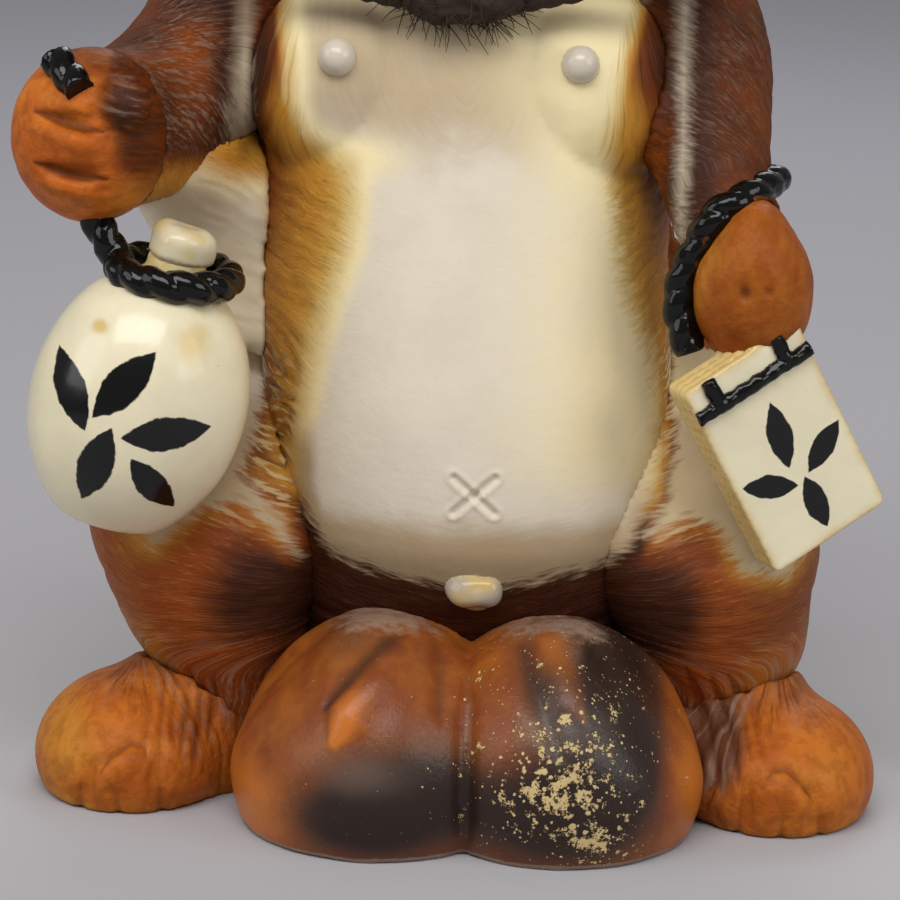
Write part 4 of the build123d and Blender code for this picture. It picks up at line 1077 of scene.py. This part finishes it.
class TANUKI_OT_torso(bpy.types.Operator):
    """Makes the torso with its combed sides, cream belly and navel, and the small pieces on it"""
    bl_idname = "tanuki.torso"
    bl_label = "Torso"

    def execute(self, context):
        g = glazes()
        shells = ("torso_front_shell", "torso_back_shell")
        torso = skin("torso", sizes().step, 6, *shells)
        points = points_of(torso)
        outward = (points - (4, 18, 0)) * (1, 1, 0)
        outward /= np.linalg.norm(outward, axis=1)[:, None] + 1e-9
        inner = ((normals_of(torso) * outward).sum(axis=1) < -0.1) & (points[:, 2] > 3)
        apply_where(torso, inner, "DECIMATE", ratio=0.6)
        refine(torso, NAVEL, 19.0, 2)
        for rise in (-1, 1):
            ends = [(NAVEL[0] + s * 7.4, -90.0, 124.0 + s * rise * 6.6) for s in (-1, 1)]
            flat = points_of(torso)
            flat[flat[:, 1] < -50, 1] = -90.0
            gap, _ = line_distance(flat, ends)
            push(torso, 0.4 * bell(gap - 2.4, 1.1) - bell(gap, 1.3))
        points = points_of(torso)
        x, y, z = points.T
        arc = np.abs(np.arctan2(x - 2, -(y - 10))) * 80
        steep = 0.25 + 0.9 * ramp(z, 225, 300)
        masks = fur_paint(points)
        comb(torso, z - steep * arc, arc, ramp(-masks["pale"], -1, 7) * (0.75 + 1.1 * masks["ridge"]))
        store(torso, **masks)
        finish_piece(torso, fur_glaze("torso_glaze"), "body_glaze", *shells)

        cream = cream_glaze("belly_lump_glaze", scaled(g.cream, 0.88))
        for name in ("right_teat", "left_teat", "loin_nub"):
            lump = luted(name, 0.0006, 3, 1.6, "torso", sink=0.8)
            if name == "loin_nub":
                store(lump, stain=0.5 + 0.4 * clay_noise(points_of(lump), 5.0, 23))
                roughen(lump, 6.0, 1.5, 22)
                cream = cream_glaze("nub_glaze", scaled(g.cream, 0.54))
            else:
                store(lump, stain=0.1)
            finish_piece(lump, cream, "cream_glaze")
        clay = plain_finish("bare_clay", g.clay, 0.85, 0.0016, 0.0004)
        dress_nodes(clay, "right_seam_coil", "left_seam_coil")
        return {"FINISHED"}


class TANUKI_OT_pouch(bpy.types.Operator):
    """Makes the big pouch with its seam, pleats, dark shading and flaked spots"""
    bl_idname = "tanuki.pouch"
    bl_label = "Pouch"

    def execute(self, context):
        pouch = skin("pouch_shell", 0.0015, 8)
        points = points_of(pouch)
        middle = np.where(points[:, :1] < POUCH_MIDDLE, (-24.6, -86.4, 22.0), (43.4, -86.4, 22.0))
        inner = ((points - middle) * normals_of(pouch)).sum(axis=1) < -4
        apply_where(pouch, inner & (points[:, 2] > 2.5), "DECIMATE", ratio=0.62)
        x, y, z = points_of(pouch).T
        off = x - POUCH_MIDDLE
        slope = ramp(np.abs(off), 30, 84) * ramp(z, 18, 66) * ramp(y, -60, -84)
        slide(pouch, -12.0 * np.sign(off) * slope)
        lute(pouch, 5.0, "torso")
        crease = raised = 0.0
        # Pressed folds get painted shade; raised folds are marked for painted highlight
        for line, width, depth in POUCH_FOLDS:
            share = front_stroke(pouch, line, width, depth)
            if depth > 0:
                crease = np.maximum(crease, 0.75 * share * min(1, depth / 2.8))
            else:
                raised = np.maximum(raised, share * min(1, -depth / 3.2))
        roughen(pouch, 14.0, 0.5, 21)
        points = points_of(pouch)
        x, y, z = points.T
        plum = spots(
            points, (1.1, -14, 24, 30, 24), (0.6, -34, 16, 24, 14), (0.5, -30, 74, 26, 9),
            (1.1, 64, 40, 26, 34), (0.9, 36, 20, 30, 22), (0.7, 44, 66, 26, 14), (-0.5, 18, 58, 9, 16))
        # Painted light: the raised folds are kept out of the dark
        plum = (plum - raised) * (1 - 0.9 * ramp(x, 78, 88))
        dust = np.maximum(0.9 * ramp(y, -116, -88) * ramp(z, 64, 80), 1.7 * ramp(z, 2.8, 1.2))
        flake = np.maximum(spots(points, (0.95, 41, 31, 14, 12), (0.85, 57, 11, 18, 11)),
                           spots(points, (0.72, 44, 36, 36, 38))) * (y < -60)
        # Painted highlight: soft spots where the lobes would shine
        sheen = spots(points, (0.75, -26, 34, 20, 10), (0.5, 48, 50, 20, 14))
        # Gold is partly painted highlight: the small spot at the end of the left lobe's raised fold and the
        # crests of the raised folds are lit orange; the wide spots at the lower left and the right edge are the
        # glaze's own orange
        gold = spots(points, (0.3, -34, 48, 6, 7), (0.95, -66, 13, 17, 20), (0.7, 92, 26, 10, 40))
        store(pouch, plum=np.clip(plum, 0, 1.2), dust=dust, flake=np.clip(flake, 0, 1), crease=crease,
              gold=gold + 0.9 * raised * ramp(z, 74, 50), sheen=sheen)
        finish_piece(pouch, pouch_glaze(), "pouch_glaze")
        return {"FINISHED"}


class TANUKI_OT_legs(bpy.types.Operator):
    """Makes the haunches and legs with their combed fur, and the tail"""
    bl_idname = "tanuki.legs"
    bl_label = "Legs and tail"

    def execute(self, context):
        glaze = fur_glaze("leg_glaze")
        for side, sign in SIDES:
            name = f"{side}_leg"
            leg = skin(name, 0.0016, 6)
            points = points_of(leg)
            x, y, z = points.T
            middle = np.array((sign * 88.0 + 2, -8.0, 0))
            outward = (points - middle) * (1, 1, 0)
            inner = ((outward * normals_of(leg)).sum(axis=1) < -6) & (z > 3) & (z < 160)
            slim = 5.0 * ramp(sign * x, 108, 146) * ramp(z, 48, 78)
            slide(leg, -sign * slim)
            lute(leg, 3.0, "torso", "pouch_shell")
            apply_where(leg, inner, "DECIMATE", ratio=0.7)
            points = points_of(leg)
            x, y, z = points.T
            arc = np.arctan2(sign * (x - middle[0]), -(y - middle[1])) * 48
            level = ramp(z, 42, 88)
            across = (z - 0.35 * arc) * level + arc * (1 - level)
            masks = fur_paint(points)
            fur = ramp(-masks["pale"], -2, 6) * (0.65 + 1.1 * masks["ridge"])
            comb(leg, across, arc * level + z * (1 - level), fur)
            furrow = front_strokes(leg, FURROWS[side], 1.5, 1.2)
            x, _, z = points_of(leg).T
            ankle = ramp(z, 74, 46)
            # Painted shade in the furrows over the ankle
            masks["dark"] = masks["dark"] * (1 - 0.85 * ankle) + 0.3 * furrow
            masks["gold"] += (0.5 if side == "right" else 0.2) * ankle * ramp(sign * x, 92, 120)
            store(leg, **masks, scratch=ankle * (1 - furrow))
            finish_piece(leg, glaze, "fur_glaze")
        tail = luted("tail", 0.0015, 5, 6.0, "torso")
        x, y, z = points_of(tail).T
        _, _, z = comb(tail, np.arctan2(x - 6, y - 96) * 30 + 4 * np.sin(z / 9), z, 1.6).T
        bands = 0.5 + 0.5 * np.sin(z / 7.5)
        store(tail, pale=-40.0, dark=0.25 + 0.6 * bands, gold=0.6 - 0.4 * bands)
        finish_piece(tail, glaze, "fur_glaze")
        return {"FINISHED"}


class TANUKI_OT_feet(bpy.types.Operator):
    """Makes the feet with their toes and the fur that falls on them"""
    bl_idname = "tanuki.feet"
    bl_label = "Feet"

    def execute(self, context):
        glaze = paw_glaze("foot_glaze", 1.0)
        for side, sign in SIDES:
            name = f"{side}_foot"
            rim_gold, fall = (0.5, 0.45) if side == "right" else (0.2, 1.25)
            foot = luted(name, 0.0013, 14, 16.0, f"{side}_leg")
            lute(foot, 6.0, "pouch_shell")
            middle = sign * 122.0 + 3.4
            x, y, z = points_of(foot).T
            back = y + 56.0
            arc = np.arctan2(sign * (x - middle), -(back - 14)) * 38
            inside = ramp(sign * (x - middle), -4, -26)
            comb(foot, arc, np.hypot(x - middle, back) + z, 0.06 + 0.7 * inside)
            creases = [0.7 * front_stroke(foot, TOES[side], 2.0, 1.6)]
            front_stroke(foot, [(px, pz - 6) for px, pz in TOES[side]], 4.5, -1.6)
            gaps = (-14.0 * sign, 1.0 * sign, 15.0 * sign)
            toes = [[(middle + gap, 12), (middle + gap * 1.05, -2)] for gap in gaps]
            creases.append(0.5 * front_strokes(foot, toes, 2.0, 1.2))
            creases.append(0.5 * front_strokes(foot, FURROWS[side], 1.5, 1.2))
            points = points_of(foot)
            x, _, z = points.T
            gold = spots(points, (0.45, middle + sign * 10, 24, 22, 12)) + 0.5 * ramp(z, 7, 2)
            plum = np.maximum(inside * (0.3 + 0.7 * ramp(z, 6, 34)) * fall, 0.55 * ramp(z, 28, 48))
            # Painted shade in the toe creases and furrows, and a painted contact shadow along the bottom edge
            store(foot, crease=np.maximum.reduce(creases) + 0.5 * ramp(z, 2.2, 0.4), plum=plum,
                  gold=gold + rim_gold * ramp(sign * (x - middle), 4, 24))
            finish_piece(foot, glaze, "paw_glaze")
        return {"FINISHED"}


def box_middle(node):
    """The middle of a CAD node's box, in millimetres."""
    low, high = (np.array(corner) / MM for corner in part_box(node))
    return (low + high) / 2


class TANUKI_OT_head(bpy.types.Operator):
    """Makes the head with its mask of fur, and the ears, eyes and nose"""
    bl_idname = "tanuki.head"
    bl_label = "Head"

    def execute(self, context):
        shells = ("head_face_shell", "head_back_shell")
        head = skin("head", 0.0018, 7, *shells)
        middle = np.array(SKULL)
        inner = ((points_of(head) - middle) * normals_of(head)).sum(axis=1) < -8
        apply_where(head, inner, "DECIMATE", ratio=0.6)
        for sign in (-1, 1):
            smile = [middle + (0, -112, -40), middle + (sign * 14, -106, -43), middle + (sign * 27, -90, -38)]
            groove(head, smile, 2.4, 2.2)
        groove(head, [middle + (0, -114, -16), middle + (0, -113, -40)], 1.8, 1.6)
        local = points_of(head) - middle
        x, y, z = local.T
        front = ramp(-y, 10, 50)
        muzzle = 34 - np.hypot(x, 1.15 * (z + 26))
        throat = 52 - np.hypot(x * 0.8, z + 70)
        pale = np.where(front > 0.5, np.maximum(muzzle, throat), -30.0)
        comb(head, np.arctan2(x, z + 20) * 55, np.hypot(x, z + 20) - y, 1.4 * ramp(-pale, -2, 8))
        eyes = np.maximum(spots(local, (1.2, -36, 10, 25, 22)), spots(local, (1.2, 36, 10, 25, 22))) * front
        store(head, pale=pale, dark=np.maximum(eyes, 0.25 * (1 - front)),
              gold=0.5 * ramp(-np.abs(z - 40), -45, 0) * front)
        finish_piece(head, fur_glaze("head_glaze"), "body_glaze", *shells)

        fur = fur_glaze("ear_glaze")
        for name in ("right_ear", "left_ear"):
            ear = luted(name, 0.0011, 3, 4.0, "head")
            x, _, z = (points_of(ear) - box_middle(name)).T
            comb(ear, np.arctan2(x, z) * 26, np.hypot(x, z), 0.8)
            cup = ramp(24 - np.hypot(x, z * 0.9), 0, 6) * (normals_of(ear)[:, 1] < -0.2)
            store(ear, pale=-40.0, dark=0.2 + 0.75 * cup, gold=0.3)
            finish_piece(ear, fur, "fur_glaze")
        glaze = eye_glaze()
        for name in ("right_eye", "left_eye"):
            eye = luted(name, 0.0009, 3, 2.0, "head")
            x, _, z = (points_of(eye) - box_middle(name)).T
            store(eye, pupil=1 - np.hypot(x, z + 1) / 16)
            finish_piece(eye, glaze, "black_glaze")
        nose = luted("nose", 0.0009, 4, 2.5, "head")
        middle = middle + (0, -110, -7)
        for sign in (-1, 1):
            groove(nose, [middle + (sign * 4, -8, -4), middle + (sign * 9, -5, -5)], 2.2, 1.8)
        finish_piece(nose, black_glaze(), "black_glaze")
        return {"FINISHED"}


def limb_flow(points, line, slant):
    """Across and along a limb's combed strokes, which wind about its middle line."""
    line = np.asarray(line, float)
    _, along = line_distance(points, line)
    travelled = along * np.linalg.norm(np.diff(line, axis=0), axis=1).sum()
    run = line[-1] - line[0]
    run /= np.linalg.norm(run)
    side = np.cross(run, (0, 1, 0))
    side /= np.linalg.norm(side)
    other = np.cross(run, side)
    local = points - line.mean(axis=0)
    arc = np.arctan2(local @ side, local @ other * math.copysign(1.0, -other[1])) * 25
    return travelled + slant * arc, arc - slant * travelled


class TANUKI_OT_arms(bpy.types.Operator):
    """Makes the fists, the arms, the web of the right arm and the neck coil"""
    bl_idname = "tanuki.arms"
    bl_label = "Arms and fists"

    def execute(self, context):
        right = luted("right_fist", 0.0011, 22, 4.0, "torso")
        crease = 0.0
        # The finger creases are pressed in and get painted shade
        for line in FINGERS:
            front_stroke(right, [(px, pz - 6) for px, pz in line], 4.2, -1.8)
            crease = np.maximum(crease, 0.95 * front_stroke(right, line, 2.6, 2.6))
        x, _, z = points_of(right).T
        points = comb(right, z + 0.3 * x, x, 0.25)
        x, _, z = points.T
        thumb = np.exp(-(((points - np.array((-119, -97, 264))) / 11) ** 2).sum(axis=1))
        lower = ramp(z - 0.5 * x, 304, 290) * ramp(x, -140, -118)
        arm_side = np.maximum(ramp(x + 0.25 * (z - 249), -132, -110), 0.6 * ramp(z + 0.2 * x, 238, 252))
        store(right, crease=crease, plum=0.75 * thumb, gold=0.6 * lower,
              coat=1.05 * arm_side * (1 - 0.5 * lower))
        finish_piece(right, paw_glaze("right_fist_glaze", 1.2), "paw_glaze")

        left = skin("left_fist", 0.0011, 4)
        points = points_of(left)
        rise = (points[:, 2] - LEFT_FIST_Z) / 31
        slim = 1 - 0.24 * ramp(rise, 0.0, 0.95) + 0.05 * ramp(-rise, 0.0, 0.5)
        points[:, 0] = LEFT_FIST_X + (points[:, 0] - LEFT_FIST_X) * slim
        set_points(left, points)
        lute(left, 4.0, "torso")
        crease = 0.0
        # The dents are pressed in and get painted shade
        for *place, width, depth in DENTS:
            share = bell(np.linalg.norm(points_of(left) - np.array(place), axis=1), width)
            push(left, -depth * share)
            crease = np.maximum(crease, 0.8 * share)
        x, _, z = points_of(left).T
        x, _, z = comb(left, x, z, 0.25).T
        gold = 0.6 * ramp(x + 0.3 * (LEFT_FIST_Z - z), 100, 88) + 0.6 * ramp(z, 184, 172)
        store(left, crease=crease, plum=0.0, gold=gold)
        finish_piece(left, paw_glaze("left_fist_glaze", 0.72), "paw_glaze")

        fur = fur_glaze("arm_glaze")
        for side, sign in SIDES:
            name = f"{side}_arm"
            line, slant, edge, wear, soil = ARMS[side]
            arm = luted(name, 0.0013, 5, 7.0, "torso", f"{side}_fist", f"{side}_leg", "head")
            points = comb(arm, *limb_flow(points_of(arm), line, slant), 0.6)
            x, _, z = points.T
            strip = sign * x - edge
            dark = 0.68 + 0.3 * clay_noise(points, 20.0, 41) + 0.2 * bell(strip - 5, 5)
            scratch = np.maximum(spots(points, (wear, sign * 104, 284, 16, 22)),
                                 spots(points, (wear, sign * 97, 258, 14, 13)))
            low = ramp(z, 246, 230) * (side == "right")
            store(arm, pale=np.minimum(pale_depth(points), -strip), dark=dark * (1 - low),
                  gold=0.12 + 0.6 * low, soil=soil, soft=0.55, scratch=scratch, halo=0.15)
            finish_piece(arm, fur, "fur_glaze")

        web = skin("right_web", 0.0013, 5)
        x, _, z = points_of(web).T
        spread = ramp(-x, 88, 106) * ramp(z, 186, 214)
        slide(web, -9.0 * spread)
        lute(web, 12.0, "torso")
        lute(web, 8.0, "right_leg", "right_arm", "right_fist")
        x, _, z = points_of(web).T
        points = comb(web, z + 0.6 * x, x - z, 0.4)
        x, y, z = points.T
        top = ramp(z + 0.35 * x, 188, 212)
        cloud = 9 + clay_noise(points, 16.0, 42) * 4 - 16 * top
        pale = np.minimum(cloud, np.maximum(pale_depth(points) + 9, -3))
        # Soil and painted shade: darker towards the web's top under the arm and towards its front
        soil = 0.12 + 0.5 * top + 0.3 * ramp(y, -20, -60)
        store(web, pale=pale, dark=0.05, gold=0.75, soil=soil, soft=0.9, halo=0.25 + 0.4 * top,
              ridge=fur_paint(points)["ridge"])
        finish_piece(web, fur, "fur_glaze")
        coil = luted("neck_coil", 0.0015, 4, 5.0, "torso", "head")
        x, y, z = points_of(coil).T
        x, y, _ = comb(coil, np.arctan2(x, -y) * 60, z, 1.0).T
        store(coil, pale=np.where(y < -10, 40 - np.abs(x) * 0.7, -20.0), dark=0.45, gold=0.3)
        finish_piece(coil, fur, "fur_glaze")
        return {"FINISHED"}


class TANUKI_OT_bottle(bpy.types.Operator):
    """Makes the sake bottle and its stopper"""
    bl_idname = "tanuki.bottle"
    bl_label = "Bottle"

    def execute(self, context):
        ivory = glazes().ivory
        lean = math.radians(15)
        across = (math.cos(lean), 0, -math.sin(lean))
        up = (math.sin(lean), 0, math.cos(lean))
        middle = tuple((BOTTLE_FOOT + 44 * np.array(up)) * MM)
        glaze = cream_glaze("bottle_glaze", ivory, (middle, across, up), BOTTLE_LEAVES)
        bottle = luted("bottle", 0.0012, 5, 3.0, "torso", "right_leg", "right_fist", "right_arm")
        points = points_of(bottle)
        height = (points - BOTTLE_FOOT) @ np.array(up)
        store(bottle, stain=0.75 * ramp(height, 84, 96) + 0.4 * ramp(height, 12, -2)
              + spots(points, (0.9, -126, 186, 4, 3), (0.8, -92, 180, 7, 10)))
        roughen(bottle, 22.0, 0.5, 51)
        finish_piece(bottle, glaze, "cream_glaze")
        stopper = luted("bottle_stopper", 0.0008, 5, 1.5, "bottle")
        store(stopper, stain=0.42 + 0.35 * clay_noise(points_of(stopper), 6.0, 53))
        roughen(stopper, 9.0, 1.4, 52)
        finish_piece(stopper, cream_glaze("stopper_glaze", scaled(ivory, 0.86)), "cream_glaze")
        return {"FINISHED"}


class TANUKI_OT_book(bpy.types.Operator):
    """Makes the account book and the bar bound over its cover"""
    bl_idname = "tanuki.book"
    bl_label = "Account book"

    def execute(self, context):
        turn, tilt = math.radians(22), math.radians(30)
        level = Vector((math.cos(turn), math.sin(turn), 0))
        across = level * math.cos(tilt) + Vector((0, 0, math.sin(tilt)))
        out = Vector((math.sin(turn), -math.cos(turn), 0))
        up = out.cross(across)
        sheet = (tuple(BOOK_MIDDLE * MM), tuple(across), tuple(up))
        glaze = cream_glaze("book_glaze", glazes().ivory, sheet, BOOK_LEAVES)
        book = luted("account_book", 0.0008, 3, 2.5, "torso", "left_leg", "left_fist", "left_arm")
        local = points_of(book) - np.array(BOOK_MIDDLE)
        edge = np.minimum(25 - np.abs(local @ np.array(across)), 40 - np.abs(local @ np.array(up)))
        deep = -(local @ np.array(out))
        page = 0.5 + 0.5 * np.cos(2 * math.pi * deep / 4.25)
        store(book, stain=ramp(edge, 1.6, 0.4) * (0.25 + 0.8 * page * (deep > 1.5)) + 0.55 * ramp(edge, 7, 0))
        finish_piece(book, glaze, "cream_glaze")
        bar = skin("book_binding", 0.0006, 3)
        roughen(bar, 2.6, 0.5, 61)
        finish_piece(bar, black_glaze(), "black_glaze")
        return {"FINISHED"}


class TANUKI_OT_ropes(bpy.types.Operator):
    """Makes the moulded black ropes of the bottle and the book"""
    bl_idname = "tanuki.ropes"
    bl_label = "Moulded ropes"

    def execute(self, context):
        lay = sizes().rope_pitch / MM
        turn = 2 * math.pi * np.linspace(0, 1, 120)[:, None]
        loop = LOOP_MIDDLE + LOOP_RADIUS * (np.cos(turn) * LOOP_ACROSS + np.sin(turn) * LOOP_BACK)
        outer = LOOP_MIDDLE - LOOP_RADIUS * LOOP_ACROSS
        strand = outer + np.linspace(0, 1, 40)[:, None] * (CORD_IN_FIST - outer)
        end = CORD_END_MIDDLE + np.linspace(-0.5, 0.5, 24)[:, None] * CORD_END_LENGTH * CORD_END_RUN
        book = np.array(route_points([tuple(np.array(p) * MM) for p in BOOK_CORD], "book_cord_route")) / MM
        ropes = {"bottle_cord": (loop, strand), "bottle_cord_end": (end,), "book_cord": (book,)}
        for name, routes in ropes.items():
            vertices, faces = [], []
            for route in routes:
                more, rings = strands_about(route, ROPE_RADIUS, lay, 2, 28, 71, 0.5)
                faces += [[index + len(vertices) for index in ring] for ring in rings]
                vertices += list(more)
            rope = soften(piece_from(name, vertices, faces), 0.0007, 2)
            roughen(rope, 3.2, 0.22, 72)
            finish_piece(rope, black_glaze(), "black_glaze")
        return {"FINISHED"}


class TANUKI_PT_panel(bpy.types.Panel):
    """Lists the steps that make the statue"""
    bl_idname = "TANUKI_PT_panel"
    bl_label = "Tanuki Statue"
    bl_space_type = "VIEW_3D"
    bl_region_type = "UI"
    bl_category = "Tanuki"

    def draw(self, context):
        for step in STEPS:
            self.layout.operator(step.bl_idname)
        for name in GROUPS:
            group = getattr(context.scene, name)
            for key in group.__annotations__:
                self.layout.prop(group, key)


GROUPS = {"tanuki_glazes": TanukiGlazes, "tanuki_sizes": TanukiSizes, "tanuki_stage": TanukiStage}
STEPS = (
    TANUKI_OT_stage, TANUKI_OT_chin_cord, TANUKI_OT_hat, TANUKI_OT_torso, TANUKI_OT_pouch, TANUKI_OT_legs,
    TANUKI_OT_feet, TANUKI_OT_head, TANUKI_OT_arms, TANUKI_OT_bottle, TANUKI_OT_book, TANUKI_OT_ropes,
)


def register():
    for name, group in GROUPS.items():
        bpy.utils.register_class(group)
        setattr(bpy.types.Scene, name, bpy.props.PointerProperty(type=group))
    for made in (*STEPS, TANUKI_PT_panel):
        bpy.utils.register_class(made)


def unregister():
    for made in (TANUKI_PT_panel, *reversed(STEPS)):
        bpy.utils.unregister_class(made)
    for name, group in GROUPS.items():
        delattr(bpy.types.Scene, name)
        bpy.utils.unregister_class(group)


def main():
    register()
    for step in STEPS:
        group, name = step.bl_idname.split(".")
        getattr(getattr(bpy.ops, group), name)()


if __name__ == "__main__":
    main()
